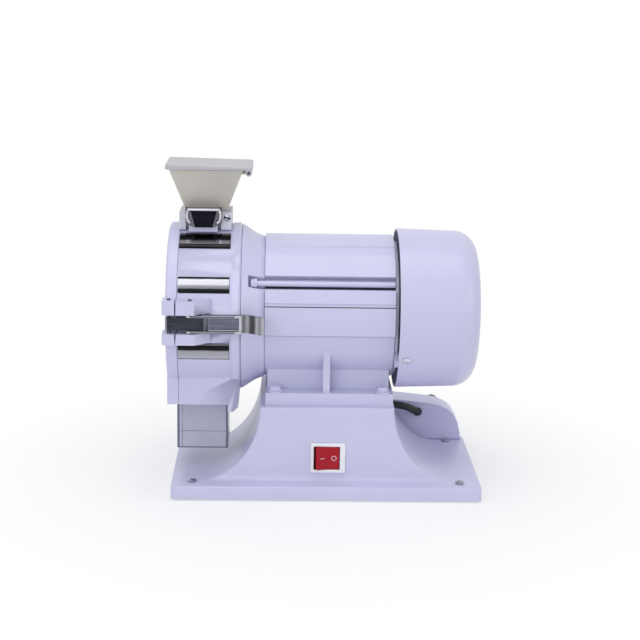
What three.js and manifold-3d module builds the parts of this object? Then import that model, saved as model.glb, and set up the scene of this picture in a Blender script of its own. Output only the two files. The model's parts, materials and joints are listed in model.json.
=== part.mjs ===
// Analytical lab mill, mm, +Z up, +X along the motor axis away from the mill drum.
// Every length is named here. Positions further down follow from these.
import * as THREE from 'three';
import { mergeVertices } from 'three/addons/utils/BufferGeometryUtils.js';
import Module from 'manifold-3d';

const wasm = await Module();
wasm.setup();

// Clearances and overruns
const gap = 0.3;
const overrun = 2;
const weld = 0.0001;

// Rubber feet and the flange of the base casting
const foot = { radius: 9, proud: 1.5, pocket: 3.5, inX: 22.5, inY: 14.5 };
const screwIn = { x: 22.5, y: 18.5 };
const flange = { halfX: 147.5, halfY: 84.5, thick: 13, corner: 5, bevel: 1.2 };
const ledge = { x0: 40, x1: 144.5, deep: 21 };
const waist = { halfX: 63.7, halfY: 66, tall: 72.5, reach: 59, wall: 5, corner: 3, fillet: 5, bevel: 1 };
const plate = { halfX: 112, halfY: 58, thick: 1.5, lip: 2.2 };
const screw = { head: 4.2, tall: 2, shank: 2, long: 6, slot: 1, slotDeep: 0.8 };

// Rocker switch on the front
const bezel = { x: 0.2, z: 35, halfX: 15.5, halfZ: 14.5, proud: 2.2, rim: 1.6, body: 18, wall: 1.4 };
const rocker = { halfX: 11.2, halfZ: 11.2, pivot: 3, high: 6.4, dip: 1.6, low: 2.5, rest: 8 };

// Rear wiring housing, capacitor and motor lead
const housing = { x0: 42, x1: 144, deep: 32, high: 44, wall: 2.5, lowSide: 3 };
const cap = { radius: 13, x0: 50, long: 38 };
const lead = { radius: 3.8, inset: 6, z: 57, inX: 12 };
const gland = { radius: 8, nut: 10, long: 15, bore: 3.6, x: 116 };

// Motor
const motor = { shaftHigh: 71, x0: -60.2, x1: 62, radius: 71, bore: 60.6, channel: 63.6, belly: 66.5 };
const footPlate = { x0: -58.8, x1: 62.3, halfY: 60, thick: 12.5 };
const neck = { half: 42, top: 40, rise: 26, end: 3 };
const rib = { x: 3.3, half: 3.2, front: 58, tall: 40 };
const bolt = { inX: 9.5, inY: 6, washer: 8, washerThick: 1.2, hex: 5.6, hexTall: 4, shank: 3.2, long: 17 };
const rod = { angle: 30.5, inset: 3.4, radius: 2.7, nut: 4.6, nutTall: 5 };
const stator = { x0: -34, x1: 38, bore: 36 };
const coil = { inner: 40, outer: 54, long: 15 };
const core = { radius: 35.4, over: 2 };
const shaft = { radius: 12, seatRadius: 10, endRadius: 7, rearTo: 88 };
const bearing = { outer: 20, wide: 12 };
const bell = { x: 62.3, thick: 3, radius: 65, hub: 24, deep: 14 };

// Fan and its cover
const coverScrew = { head: 3.4, tall: 1.6, shank: 1.2, grip: 3, post: 4 };
const cover = { x0: 66, x1: 145.5, rim: 77.3, taper: 1.6, corner: 22, dome: 2.5, wall: 1.6, lap: 8 };
const vent = { rings: 3, inner: 12, pitch: 13, wide: 4, count: 4 };
const fan = { x0: 74, hub: 14, radius: 58, wide: 26, blades: 8, thick: 2.4, disc: 3 };

// Adapter between motor and drum
const adapter = { x0: -82.2, x1: -60.5, big: 80, small: 68, wall: 7, hub: 26 };
const seal = { outer: 16, wide: 6 };

// Mill drum, its block below and the discharge
const drum = { x0: -141.2, x1: -82.5, radius: 81, band: 0.8, rim: 8.5, bore: 70, back: 8, hub: 18 };
const block = { halfY: 55, below: 3.5, tall: 40, heel: 10, heelDrop: 7, chamfer: 5 };
const chute = { halfX: 17, halfY: 15 };
const shoe = { neck: 4, halfX: 21, flange: 3.6, halfY: 21 };
const strip = { angles: [62, 26, -20], halfs: [11, 7.6, 8.6], deep: 3.2, sunk: 0.6, endIn: 2 };
const liner = { thick: 7, tooth: 3.2, teeth: 30, window: 26, gapEnd: 1 };
const sieve = { thick: 2, slots: 7, slotWide: 2.2 };

// Door, its hinge and gasket
const door = { thick: 10.5, radius: 81, edge: 3, boss: 3, bossRadius: 66, gap: 0.3 };
const gasket = { inner: 71.5, outer: 77.5, thick: 1.6 };
const hinge = { out: 13, radius: 5.4, pin: 2.6, mid: 10.5, tall: 14 };

// Toggle latch on the front of the drum
const lug = { x1: -110, flat: 17, out: 14, low: 153.5, high: 194.5, inLow: 163.6, inHigh: 181.6 };
const latch = { pivotX: -128.6, keeperX: -148, out: 8.4, link: 13, wall: 2, eye: 4.1, pin: 1.8, end: -60.6 };
const tab = { bendX: -81.3, lift: 9 };
const claw = { thick: 2.4, keeperPin: 1.8, keeperIn: 3.4 };

// Beater rotor
const beater = { disc: 4, radius: 52, tip: 59, hub: 15, blades: 6, thick: 5, x0: -136, x1: -96 };
const nut = { radius: 8, thick: 6 };

// Hopper
const hopper = { x: -116.5, base: 2.3, neckHalfX: 17, halfY: 14, foot: 16.5, topHalfX: 34.5, topHalfY: 31 };
const funnel = { z0: 268, z1: 306.4, halfX0: 20.2, halfY0: 16, wall: 2.2 };
const saddle = { x0: -140.7, x1: -88.5, halfY: 22, midY: 26, top: 265, midTop: 263 };
const lid = { x0: -154.8, halfY: 32.5, thick: 4.2, knuckle: 3.2, pin: 1.1, pinX: -76.6, ear: 6, earRadius: 2 };
const clip = { halfX: 17, top: 269, low: 250, out: 3.4, thick: 2, cheek: 2, pin: 1.5, pinZ: 262, pinIn: 1.6 };

// Sample box
const box = { x0: -144.4, x1: -95, y0: -26, y1: 23, low: 34, wall: 2.6, lip: 2.4, topGap: 1.4 };

// Levels that follow
const flangeTop = foot.proud + flange.thick;
const waistTop = flangeTop + waist.tall;
const plateTop = waistTop + footPlate.thick;
const axisZ = plateTop + motor.shaftHigh;
const drumTop = axisZ + drum.radius;
const blockLow = axisZ - drum.radius - block.below;
const backY = waist.halfY + waist.fillet + gap;

// Finishes
const paint = { color: 0xd6d6e8, roughness: 0.38, metalness: 0 };
const steel = { color: 0xb9bbc2, roughness: 0.3, metalness: 1 };
const chrome = { color: 0xd0d2d8, roughness: 0.12, metalness: 1 };
const dark = { color: 0x3a3b40, roughness: 0.35, metalness: 1 };
const rubber = { color: 0x1b1b1d, roughness: 0.85, metalness: 0 };
const cream = { color: 0xd9d0bd, roughness: 0.45, metalness: 0 };
const white = { color: 0xe4e4ee, roughness: 0.4, metalness: 0 };
const red = { color: 0xb01824, roughness: 0.3, metalness: 0 };
const smoke = { color: 0x8f8d95, roughness: 0.15, metalness: 0 };
const copper = { color: 0xb4703a, roughness: 0.4, metalness: 1 };
const alloy = { color: 0xc6c8cd, roughness: 0.45, metalness: 1 };
const black = { color: 0x202124, roughness: 0.5, metalness: 0 };

// Geometry helpers
function clean(source) {
  let g = source.clone();
  if (g.attributes.normal) g.deleteAttribute('normal');
  if (g.attributes.uv) g.deleteAttribute('uv');
  g = mergeVertices(g, weld);
  const from = g.index.array;
  const kept = [];
  for (let i = 0; i < from.length; i += 3) {
    const [a, b, c] = [from[i], from[i + 1], from[i + 2]];
    if (a !== b && b !== c && c !== a) kept.push(a, b, c);
  }
  const p = g.attributes.position;
  let volume = 0;
  const [va, vb, vc] = [new THREE.Vector3(), new THREE.Vector3(), new THREE.Vector3()];
  for (let i = 0; i < kept.length; i += 3) {
    va.fromBufferAttribute(p, kept[i]);
    vb.fromBufferAttribute(p, kept[i + 1]);
    vc.fromBufferAttribute(p, kept[i + 2]);
    volume += va.dot(vb.cross(vc));
  }
  if (volume < 0) kept.reverse();
  g.setIndex(kept);
  return g;
}

function solid(geometry) {
  const g = clean(geometry);
  const vertProperties = new Float32Array(g.attributes.position.array);
  const triVerts = new Uint32Array(g.index.array);
  return new wasm.Manifold(new wasm.Mesh({ numProp: 3, vertProperties, triVerts }));
}

function surface(manifold) {
  const mesh = manifold.getMesh();
  const g = new THREE.BufferGeometry();
  g.setAttribute('position', new THREE.BufferAttribute(new Float32Array(mesh.vertProperties), 3));
  g.setIndex(Array.from(mesh.triVerts));
  return g;
}

const join = (...list) => surface(list.map(solid).reduce((a, b) => a.add(b)));
const cut = (from, ...tools) => surface(tools.map(solid).reduce((a, b) => a.subtract(b), solid(from)));
const common = (a, b) => surface(solid(a).intersect(solid(b)));

function block3(x0, x1, y0, y1, z0, z1) {
  const g = new THREE.BoxGeometry(x1 - x0, y1 - y0, z1 - z0);
  return g.translate((x0 + x1) / 2, (y0 + y1) / 2, (z0 + z1) / 2);
}

// A flat outline pushed along an axis: (y, z) along x, (x, z) along y, (x, y) along z
function prism(points, axis, from, to, holes = []) {
  const shape = new THREE.Shape(points.map(([u, v]) => new THREE.Vector2(u, v)));
  for (const hole of holes) shape.holes.push(new THREE.Path(hole.map(([u, v]) => new THREE.Vector2(u, v))));
  const g = new THREE.ExtrudeGeometry(shape, { depth: to - from, bevelEnabled: false });
  if (axis === 'z') return g.translate(0, 0, from);
  if (axis === 'y') return g.rotateX(Math.PI / 2).translate(0, to, 0);
  g.applyMatrix4(new THREE.Matrix4().set(0, 0, 1, from, 1, 0, 0, 0, 0, 1, 0, 0, 0, 0, 0, 1));
  return g;
}

// A profile of [along, radius] turned about an axis through (u, v)
function turned(profile, axis, u, v, sides) {
  const points = profile.map(([along, radius]) => new THREE.Vector2(radius, along));
  const g = new THREE.LatheGeometry(points, sides);
  if (axis === 'x') return g.rotateZ(-Math.PI / 2).translate(0, u, v);
  if (axis === 'z') return g.rotateX(Math.PI / 2).translate(u, v, 0);
  return g.translate(u, 0, v);
}

const rod3 = (axis, u, v, radius, from, to, sides = 20) =>
  turned([[from, 0], [from, radius], [to, radius], [to, 0]], axis, u, v, sides);

function ring3(axis, u, v, inner, outer, from, to, sides = 40) {
  return turned([[from, inner], [from, outer], [to, outer], [to, inner], [from, inner]], axis, u, v, sides);
}

// Convex sections with the same count of points, skinned and capped
function loft(sections) {
  const count = sections[0].length;
  const positions = sections.flat(2);
  const index = [];
  for (let s = 0; s + 1 < sections.length; s += 1) {
    for (let i = 0; i < count; i += 1) {
      const a = s * count + i;
      const b = s * count + ((i + 1) % count);
      index.push(a, b, b + count, a, b + count, a + count);
    }
  }
  const last = (sections.length - 1) * count;
  for (let i = 1; i + 1 < count; i += 1) {
    index.push(0, i + 1, i);
    index.push(last, last + i, last + i + 1);
  }
  const g = new THREE.BufferGeometry();
  g.setAttribute('position', new THREE.BufferAttribute(new Float32Array(positions), 3));
  g.setIndex(index);
  return g;
}

function roundRect(cx, cy, halfX, halfY, radius, steps = 2) {
  const points = [];
  const quarter = Math.PI / 2;
  const corners = [[1, 1], [-1, 1], [-1, -1], [1, -1]];
  corners.forEach(([sx, sy], k) => {
    for (let i = 0; i <= steps; i += 1) {
      const a = k * quarter + (i / steps) * quarter;
      const x = cx + sx * (halfX - radius) + radius * Math.cos(a);
      const y = cy + sy * (halfY - radius) + radius * Math.sin(a);
      points.push([x, y]);
    }
  });
  return points;
}

const rectLoft = (levels) =>
  loft(levels.map(([cx, cy, hx, hy, z]) => [[cx - hx, cy - hy, z], [cx + hx, cy - hy, z],
    [cx + hx, cy + hy, z], [cx - hx, cy + hy, z]]));

const rad = (degrees) => (degrees * Math.PI) / 180;

function circle(u, v, radius, sides, from = 0, sweep = 360) {
  const whole = sweep === 360;
  const count = whole ? sides : sides + 1;
  return Array.from({ length: count }, (_, i) => {
    const a = rad(from + (sweep * i) / sides);
    return [u + radius * Math.cos(a), v + radius * Math.sin(a)];
  });
}

function turnX(geometry, degrees) {
  return geometry.translate(0, 0, -axisZ).rotateX(rad(degrees)).translate(0, 0, axisZ);
}

const mill = new THREE.Group();
mill.name = 'analytical_lab_mill';
function piece(name, geometry, finish) {
  const g = clean(geometry);
  g.computeVertexNormals();
  const mesh = new THREE.Mesh(g, new THREE.MeshStandardMaterial(finish));
  mesh.name = name;
  mill.add(mesh);
}

// Base casting: flange, waisted body with concave ends, hollow below
const waistX = (z, extra = 0) => {
  const s = Math.min(1, (waistTop - z) / (waist.tall + extra));
  return waist.halfX + waist.reach - (waist.reach + extra) * Math.sqrt(1 - s * s);
};
const flareY = (z) => {
  const u = Math.max(0, 1 - (z - flangeTop) / waist.fillet);
  return u >= 1 ? waist.fillet : waist.fillet * (1 - Math.sqrt(1 - u * u));
};
const sectionZ = (hx, hy, r, z) => roundRect(0, 0, hx, hy, r).map(([x, y]) => [x, y, z]);
const waistLevels = [84, 79, 73, 66, 58, 50, 42, 34, 26, 18, 10].map((t) => waistTop - waist.tall * Math.sin(rad(t)));
const waistOuter = loft([
  sectionZ(waistX(waistLevels[0]), waist.halfY + flareY(waistLevels[0]), waist.corner, flangeTop - overrun),
  ...waistLevels.map((z) => sectionZ(waistX(z), waist.halfY + flareY(z), waist.corner, z)),
  sectionZ(waist.halfX, waist.halfY, waist.corner, waistTop - waist.bevel),
  sectionZ(waist.halfX - waist.bevel, waist.halfY - waist.bevel, waist.corner - waist.bevel, waistTop),
]);
const innerTop = waistTop - waist.wall;
const innerAt = (z) => sectionZ(waistX(z, waist.wall), waist.halfY - waist.wall, waist.corner, z);
const innerLow = flangeTop + waist.wall;
const innerSteps = 6;
const innerLevels = Array.from({ length: innerSteps + 1 }, (_, i) => innerLow + ((innerTop - innerLow) * i) / innerSteps);
const lowSection = innerAt(innerLow);
const waistInner = loft([lowSection.map(([x, y]) => [x, y, 0 - overrun]), ...innerLevels.map(innerAt)]);
const flangePlan = (inset) => roundRect(0, 0, flange.halfX - inset, flange.halfY - inset, flange.corner - inset);
const flangeSolid = loft([
  flangePlan(0).map(([x, y]) => [x, y, foot.proud]),
  flangePlan(0).map(([x, y]) => [x, y, flangeTop - flange.bevel]),
  flangePlan(flange.bevel).map(([x, y]) => [x, y, flangeTop]),
]);
const ledgeSolid = block3(ledge.x0, ledge.x1, flange.halfY - flange.corner - overrun,
  flange.halfY + ledge.deep, foot.proud, flangeTop);
const footSpots = [-1, 1].flatMap((sx) => [-1, 1].map((sy) =>
  [sx * (flange.halfX - foot.inX), sy * (flange.halfY - foot.inY)]));
const pockets = footSpots.map(([x, y]) =>
  rod3('z', x, y, foot.radius + gap, 0, foot.proud + foot.pocket, 14));
const screwSpots = [-1, 1].flatMap((sx) => [-1, 1].map((sy) =>
  [sx * (flange.halfX - screwIn.x), sy * (flange.halfY - screwIn.y)]));
const screwHoles = screwSpots.map(([x, y]) =>
  rod3('z', x, y, screw.shank + gap, foot.proud + foot.pocket + overrun, flangeTop + overrun, 10));
const plateLow = foot.proud + gap;
const rebate = block3(-plate.halfX - gap, plate.halfX + gap, -plate.halfY - plate.lip - gap,
  plate.halfY + plate.lip + gap, 0, plateLow + plate.thick + gap);
const boltSpots = [-1, 1].flatMap((sx) => [-1, 1].map((sy) =>
  [sx < 0 ? footPlate.x0 + bolt.inX : footPlate.x1 - bolt.inX, sy * (footPlate.halfY - bolt.inY)]));
const boltHoles = (z0, z1) => boltSpots.map(([x, y]) => rod3('z', x, y, bolt.shank + gap, z0, z1, 10));
const switchHole = block3(bezel.x - bezel.halfX + bezel.rim - gap * 2, bezel.x + bezel.halfX - bezel.rim + gap * 2,
  -waist.halfY - overrun, -waist.halfY + waist.wall + overrun,
  bezel.z - bezel.halfZ + bezel.rim - gap * 2, bezel.z + bezel.halfZ - bezel.rim + gap * 2);
const leadY = waist.halfY - lead.inset;
const wallX = waistX(lead.z);
const leadHole = rod3('x', leadY - lead.radius, lead.z, lead.radius + gap * 4,
  wallX - lead.inX, wallX + lead.inX, 20);
piece('base_casting', cut(join(waistOuter, flangeSolid, ledgeSolid), waistInner, rebate, switchHole,
  leadHole, ...pockets, ...screwHoles, ...boltHoles(innerTop - overrun, waistTop + overrun)), paint);
piece('bottom_plate', block3(-plate.halfX, plate.halfX, -plate.halfY - plate.lip,
  plate.halfY + plate.lip, plateLow, plateLow + plate.thick), alloy);
footSpots.forEach(([x, y], i) => piece(`rubber_foot_${i + 1}`,
  rod3('z', x, y, foot.radius, 0, foot.proud + foot.pocket - gap, 14), rubber));

// A pan-head screw with a slot, pointing along -Z, head seat at zero
function panScrew(head = screw.head, tall = screw.tall, shank = screw.shank, long = screw.long) {
  const profile = [[-long, 0], [-long, shank], [0, shank], [0, head], [tall / 2, head],
    [tall, head / 2], [tall, 0]];
  const slot = block3(-head - overrun, head + overrun, -screw.slot / 2, screw.slot / 2,
    tall - screw.slotDeep, tall + overrun);
  return cut(turned(profile, 'z', 0, 0, 8), slot);
}
screwSpots.forEach(([x, y], i) => piece(`flange_screw_${i + 1}`,
  panScrew().translate(x, y, flangeTop + gap), steel));

// Motor foot bolts, each with its washer
function hexBolt() {
  const washer = rod3('z', 0, 0, bolt.washer, 0, bolt.washerThick, 14);
  const head = rod3('z', 0, 0, bolt.hex, bolt.washerThick - weld, bolt.washerThick + bolt.hexTall, 6);
  return join(washer, head, rod3('z', 0, 0, bolt.shank, -bolt.long, bolt.washerThick, 8));
}
boltSpots.forEach(([x, y], i) => piece(`foot_bolt_${i + 1}`, hexBolt().translate(x, y, plateTop + gap), steel));

// Switch: bezel with its box behind the panel, rocker on a pin line along Z
const bezelY = -waist.halfY - gap;
const wellX = bezel.halfX - bezel.rim;
const wellZ = bezel.halfZ - bezel.rim;
const bezelPlate = block3(bezel.x - bezel.halfX, bezel.x + bezel.halfX, bezelY - bezel.proud, bezelY,
  bezel.z - bezel.halfZ, bezel.z + bezel.halfZ);
const bezelBox = block3(bezel.x - wellX, bezel.x + wellX, bezelY - bezel.proud, bezelY + bezel.body,
  bezel.z - wellZ, bezel.z + wellZ);
const rockerClear = gap * 2;
const bezelWell = block3(bezel.x - rocker.halfX - rockerClear * 2, bezel.x + rocker.halfX + rockerClear * 2,
  bezelY - bezel.proud - overrun, bezelY + bezel.body - bezel.wall,
  bezel.z - rocker.halfZ - gap, bezel.z + rocker.halfZ + gap);
const bezelFront = common(join(bezelPlate, bezelBox), block3(bezel.x - bezel.halfX, bezel.x + bezel.halfX,
  bezelY - bezel.proud, bezelY + bezel.body, bezel.z - bezel.halfZ, bezel.z + bezel.halfZ));
piece('switch_bezel', cut(bezelFront, bezelWell), white);
const rockerOutline = [[-rocker.halfX, rocker.high], [0, rocker.high - rocker.dip],
  [rocker.halfX, rocker.high], [rocker.halfX, -rocker.low / 2], [0, -rocker.low * 2],
  [-rocker.halfX, -rocker.low / 2]];
const rockerY = bezelY + rocker.pivot;
const rockerSolid = prism(rockerOutline.map(([u, v]) => [u, -v]), 'z', -rocker.halfZ, rocker.halfZ);
piece('switch_rocker', rockerSolid.rotateZ(rad(rocker.rest)).translate(bezel.x, rockerY, bezel.z), red);

// Rear wiring housing, open below, on the flange and its ledge
const humpShares = [[0, 1], [0.27, 0.97], [0.47, 0.93], [0.67, 0.88], [0.77, 0.83], [0.865, 0.73],
  [0.925, 0.59], [0.962, 0.42], [0.985, 0.2], [1, 0]];
const hump = (inset) => {
  const wide = housing.x1 - housing.x0;
  const curve = humpShares.map(([u, v]) => [
    housing.x0 + wide * u + (u < 0.5 ? inset * (1 - 2 * u) : -inset * (2 * u - 1)),
    flangeTop + gap + housing.high * v - inset * (v > 0 ? 1 : 0)]);
  const floor = inset > 0 ? flangeTop - overrun : flangeTop + gap;
  return [[curve[0][0], floor], [curve[curve.length - 1][0], floor], ...curve.reverse().slice(1)];
};
const housingBack = backY + housing.deep;
const leadIn = { x: wallX + 29, z: lead.z - 13 };
const shell = cut(prism(hump(0), 'y', backY, housingBack),
  prism(hump(housing.wall), 'y', backY + housing.wall, housingBack - housing.wall),
  rod3('y', leadIn.x, leadIn.z, lead.radius + gap + 0.4, backY - overrun, backY + housing.wall + overrun, 20),
  rod3('y', gland.x, leadIn.z - overrun, gland.radius - overrun, housingBack - housing.wall - overrun,
    housingBack + overrun, 20));
piece('wiring_housing', shell, paint);
piece('capacitor', join(rod3('x', backY + housing.deep / 2, flangeTop + housing.wall + cap.radius,
  cap.radius, cap.x0, cap.x0 + cap.long, 14),
rod3('x', backY + housing.deep / 2, flangeTop + housing.wall + cap.radius, cap.radius / 2,
  cap.x0 + cap.long - weld, cap.x0 + cap.long + overrun * 2, 8)), alloy);
const leadCurve = new THREE.CatmullRomCurve3([
  new THREE.Vector3(wallX - lead.inX, leadY - lead.radius, lead.z),
  new THREE.Vector3(wallX + 2, leadY - lead.radius, lead.z - 0.6),
  new THREE.Vector3(wallX + 18, leadY - lead.radius + 0.6, lead.z - 4),
  new THREE.Vector3(wallX + 26, leadY - lead.radius + 4.5, lead.z - 9),
  new THREE.Vector3(leadIn.x, backY - 0.5, leadIn.z + 0.2),
  new THREE.Vector3(leadIn.x, backY + housing.wall * 3, leadIn.z),
]);
const leadRing = new THREE.Shape(circle(0, 0, lead.radius, 8).map(([u, v]) => new THREE.Vector2(u, v)));
piece('motor_lead', new THREE.ExtrudeGeometry(leadRing, { steps: 10, extrudePath: leadCurve }), rubber);
piece('cable_gland', join(
  ring3('y', gland.x, leadIn.z - overrun, gland.bore, gland.radius - overrun - gap,
    housingBack - housing.wall - overrun, housingBack + gap, 12),
  ring3('y', gland.x, leadIn.z - overrun, gland.bore, gland.nut, housingBack + gap - weld,
    housingBack + gland.long / 2, 6),
  ring3('y', gland.x, leadIn.z - overrun, gland.bore, gland.radius, housingBack + gland.long / 2 - weld,
    housingBack + gland.long, 12)), black);

// Motor frame: panelled section with tie-rod channels, belly, neck, foot plate and rib
const arc = (from, to, radius, steps) => Array.from({ length: steps + 1 }, (_, i) =>
  [from + ((to - from) * i) / steps, radius]);
const R = motor.radius;
const halfSection = [
  ...arc(90, 67, R, 4), ...arc(66, 57, R - 1.6, 2), ...arc(56, 36, R, 4),
  ...arc(rod.angle + 5, rod.angle - 5, motor.channel, 2), ...arc(25, 14.6, R, 2),
  ...arc(14.2, 13.5, R - 0.9, 1), ...arc(13, -10.5, R, 5), ...arc(-13, -88, motor.belly, 12)];
const sectionYZ = [
  ...halfSection.map(([a, r]) => [-r * Math.cos(rad(a)), axisZ + r * Math.sin(rad(a))]),
  ...halfSection.slice(1).reverse().map(([a, r]) => [r * Math.cos(rad(a)), axisZ + r * Math.sin(rad(a))])];
const bore = rod3('x', 0, axisZ, motor.bore, motor.x0 - overrun, motor.x1 + overrun, 32);
const neckSolid = prism([[-neck.half, plateTop - weld], [neck.half, plateTop - weld],
  [neck.top, plateTop + neck.rise], [-neck.top, plateTop + neck.rise]], 'x',
motor.x0 + neck.end, motor.x1 - neck.end);
const motorPlate = block3(footPlate.x0, footPlate.x1, -footPlate.halfY, footPlate.halfY,
  waistTop, plateTop);
const ribSolid = block3(rib.x - rib.half, rib.x + rib.half, -rib.front, rib.front, plateTop - weld,
  plateTop + rib.tall);
piece('motor_frame', cut(join(prism(sectionYZ, 'x', motor.x0, motor.x1), neckSolid, motorPlate, ribSolid),
  bore, ...boltHoles(waistTop - overrun, plateTop + overrun)), paint);

// Stator, coils, rotor and shaft
piece('stator', turned([[stator.x0, stator.bore], [stator.x0, coil.inner], [stator.x0 - coil.long, coil.inner],
  [stator.x0 - coil.long, coil.outer], [stator.x0, coil.outer], [stator.x0, motor.bore - gap],
  [stator.x1, motor.bore - gap], [stator.x1, coil.outer], [stator.x1 + coil.long, coil.outer],
  [stator.x1 + coil.long, coil.inner], [stator.x1, coil.inner], [stator.x1, stator.bore],
  [stator.x0, stator.bore]], 'x', 0, axisZ, 24), copper);
piece('rotor_core', ring3('x', 0, axisZ, shaft.radius + gap, core.radius, stator.x0 - core.over,
  stator.x1 + core.over, 24), steel);
const frontBearing = adapter.x1 - bearing.wide - gap;
const rearBearing = bell.x - bearing.wide;
piece('motor_shaft', turned([[beater.x0, 0], [beater.x0, shaft.endRadius], [adapter.x0, shaft.endRadius],
  [adapter.x0, shaft.seatRadius], [frontBearing + bearing.wide + gap, shaft.seatRadius],
  [frontBearing + bearing.wide + gap, shaft.radius], [rearBearing - gap, shaft.radius],
  [rearBearing - gap, shaft.seatRadius], [shaft.rearTo, shaft.seatRadius], [shaft.rearTo, 0]],
'x', 0, axisZ, 16), steel);
piece('bearing_front', ring3('x', 0, axisZ, shaft.seatRadius + gap, bearing.outer, frontBearing,
  frontBearing + bearing.wide, 20), chrome);
piece('bearing_rear', ring3('x', 0, axisZ, shaft.seatRadius + gap, bearing.outer, rearBearing,
  rearBearing + bearing.wide, 20), chrome);

// Rear end bell: spigot in the frame, hub round the bearing, posts for the cover
const coverScrewSpots = [214, 326];
const bellX = motor.x1 + gap;
const rodAt = R - rod.inset;
const rodSpots = [180 - rod.angle, rod.angle].map((a) =>
  [rodAt * Math.cos(rad(a)), axisZ + rodAt * Math.sin(rad(a))]);
const rearHub = rearBearing + bearing.wide + gap;
const postX = bellX + bell.thick + cover.lap;
const post = (a) => turnX(block3(bellX + gap, postX + coverScrew.post, -coverScrew.post, coverScrew.post,
  axisZ + bell.radius - coverScrew.post, axisZ + cover.rim - cover.wall - gap * 4), a - 90);
const postHole = (a) => turnX(rod3('z', postX, 0, coverScrew.shank + gap, axisZ + bell.radius,
  axisZ + cover.rim + overrun, 10), a - 90);
piece('end_bell_rear', cut(join(turned([
  [bellX - overrun * 2, motor.bore - gap - bell.thick], [bellX - overrun * 2, motor.bore - gap],
  [bellX, motor.bore - gap], [bellX, bell.radius], [bellX + bell.thick, bell.radius],
  [bellX + bell.thick, shaft.seatRadius + gap], [rearHub, shaft.seatRadius + gap],
  [rearHub, bearing.outer + gap], [rearBearing - gap, bearing.outer + gap], [rearBearing - gap, bell.hub],
  [bellX, bell.hub], [bellX, motor.bore - gap - bell.thick],
  [bellX - overrun * 2, motor.bore - gap - bell.thick]], 'x', 0, axisZ, 28),
...coverScrewSpots.map(post)), ...coverScrewSpots.map(postHole)), alloy);
const rodX0 = adapter.x1 - 12;
rodSpots.forEach(([y, z], i) => piece(`tie_rod_${['front', 'rear'][i]}`, join(
  rod3('x', y, z, rod.radius, rodX0, motor.x1 - gap, 12),
  rod3('x', y, z, rod.nut, rodX0 - overrun / 2, rodX0 + rod.nutTall, 6)), steel));

// Fan and fan cover
const blade = (i) => turnX(block3(fan.x0 + fan.disc - weld, fan.x0 + fan.wide, fan.hub - overrun, fan.radius,
  axisZ - fan.thick / 2, axisZ + fan.thick / 2), (i * 360) / fan.blades);
piece('fan', cut(join(rod3('x', 0, axisZ, fan.hub, fan.x0, fan.x0 + fan.wide, 14),
  rod3('x', 0, axisZ, fan.radius, fan.x0, fan.x0 + fan.disc, 20),
  ...Array.from({ length: fan.blades }, (_, i) => blade(i))),
rod3('x', 0, axisZ, shaft.seatRadius + gap, fan.x0 - overrun, shaft.rearTo + gap, 14)), black);
const coverProfile = (inset) => {
  const bend = cover.x1 - cover.corner;
  const r1 = cover.rim - cover.taper - cover.corner;
  const start = inset > 0 ? cover.x0 - overrun : cover.x0;
  const steps = 4;
  const bendPoints = Array.from({ length: steps + 1 }, (_, i) => {
    const a = rad((90 * i) / steps);
    return [bend + (cover.corner - inset) * Math.sin(a), r1 + (cover.corner - inset) * Math.cos(a)];
  });
  return [[start, 0], [start, cover.rim - inset], ...bendPoints,
    [cover.x1 + cover.dome * 0.7 - inset, r1 / 2], [cover.x1 + cover.dome - inset, 0]];
};
const slots = [];
for (let k = 0; k < vent.rings; k += 1) {
  const inner = vent.inner + k * vent.pitch;
  const sweep = 360 / vent.count;
  for (let i = 0; i < vent.count; i += 1) {
    const from = i * sweep + (k % 2 ? sweep / 2 : 0) + sweep * 0.12;
    const outer = circle(0, axisZ, inner + vent.wide, 3, from, sweep * 0.76);
    const back = circle(0, axisZ, inner, 3, from, sweep * 0.76).reverse();
    slots.push(prism([...outer, ...back], 'x', cover.x1 - cover.wall - overrun * 2, cover.x1 + cover.dome + overrun));
  }
}
piece('fan_cover', cut(turned(coverProfile(0), 'x', 0, axisZ, 40), turned(coverProfile(cover.wall), 'x', 0,
  axisZ, 40), ...slots, ...coverScrewSpots.map(postHole)), paint);
coverScrewSpots.forEach((a, i) => piece(`cover_screw_${['front', 'rear'][i]}`, turnX(
  panScrew(coverScrew.head, coverScrew.tall, coverScrew.shank, cover.wall + coverScrew.grip).translate(
    postX, 0, axisZ + cover.rim + gap), a - 90), steel));

// Adapter bell with the front bearing and pockets for the tie rods
const adapterOuter = [[adapter.x0, adapter.big], [adapter.x0 + 5, adapter.big - 3.2],
  [adapter.x0 + 13, adapter.big - 8.6], [adapter.x1, adapter.small]];
const adapterLoop = [...adapterOuter,
  [adapter.x1, bearing.outer + gap], [frontBearing - gap, bearing.outer + gap],
  [frontBearing - gap, shaft.seatRadius + gap * 2], [adapter.x0, shaft.seatRadius + gap * 2],
  [adapter.x0, adapter.hub - adapter.wall / 2], [adapter.x0 + adapter.wall / 2, adapter.hub],
  [adapter.x0 + adapter.wall / 2, adapter.big - adapter.wall * 2], [adapter.x0, adapter.big - adapter.wall * 2 + 2],
  adapterOuter[0]];
piece('adapter_bell', cut(turned(adapterLoop, 'x', 0, axisZ, 36), ...rodSpots.map(([y, z]) =>
  rod3('x', y, z, rod.nut + gap * 3, rodX0 - overrun, adapter.x1 + overrun, 12))), paint);

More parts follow.
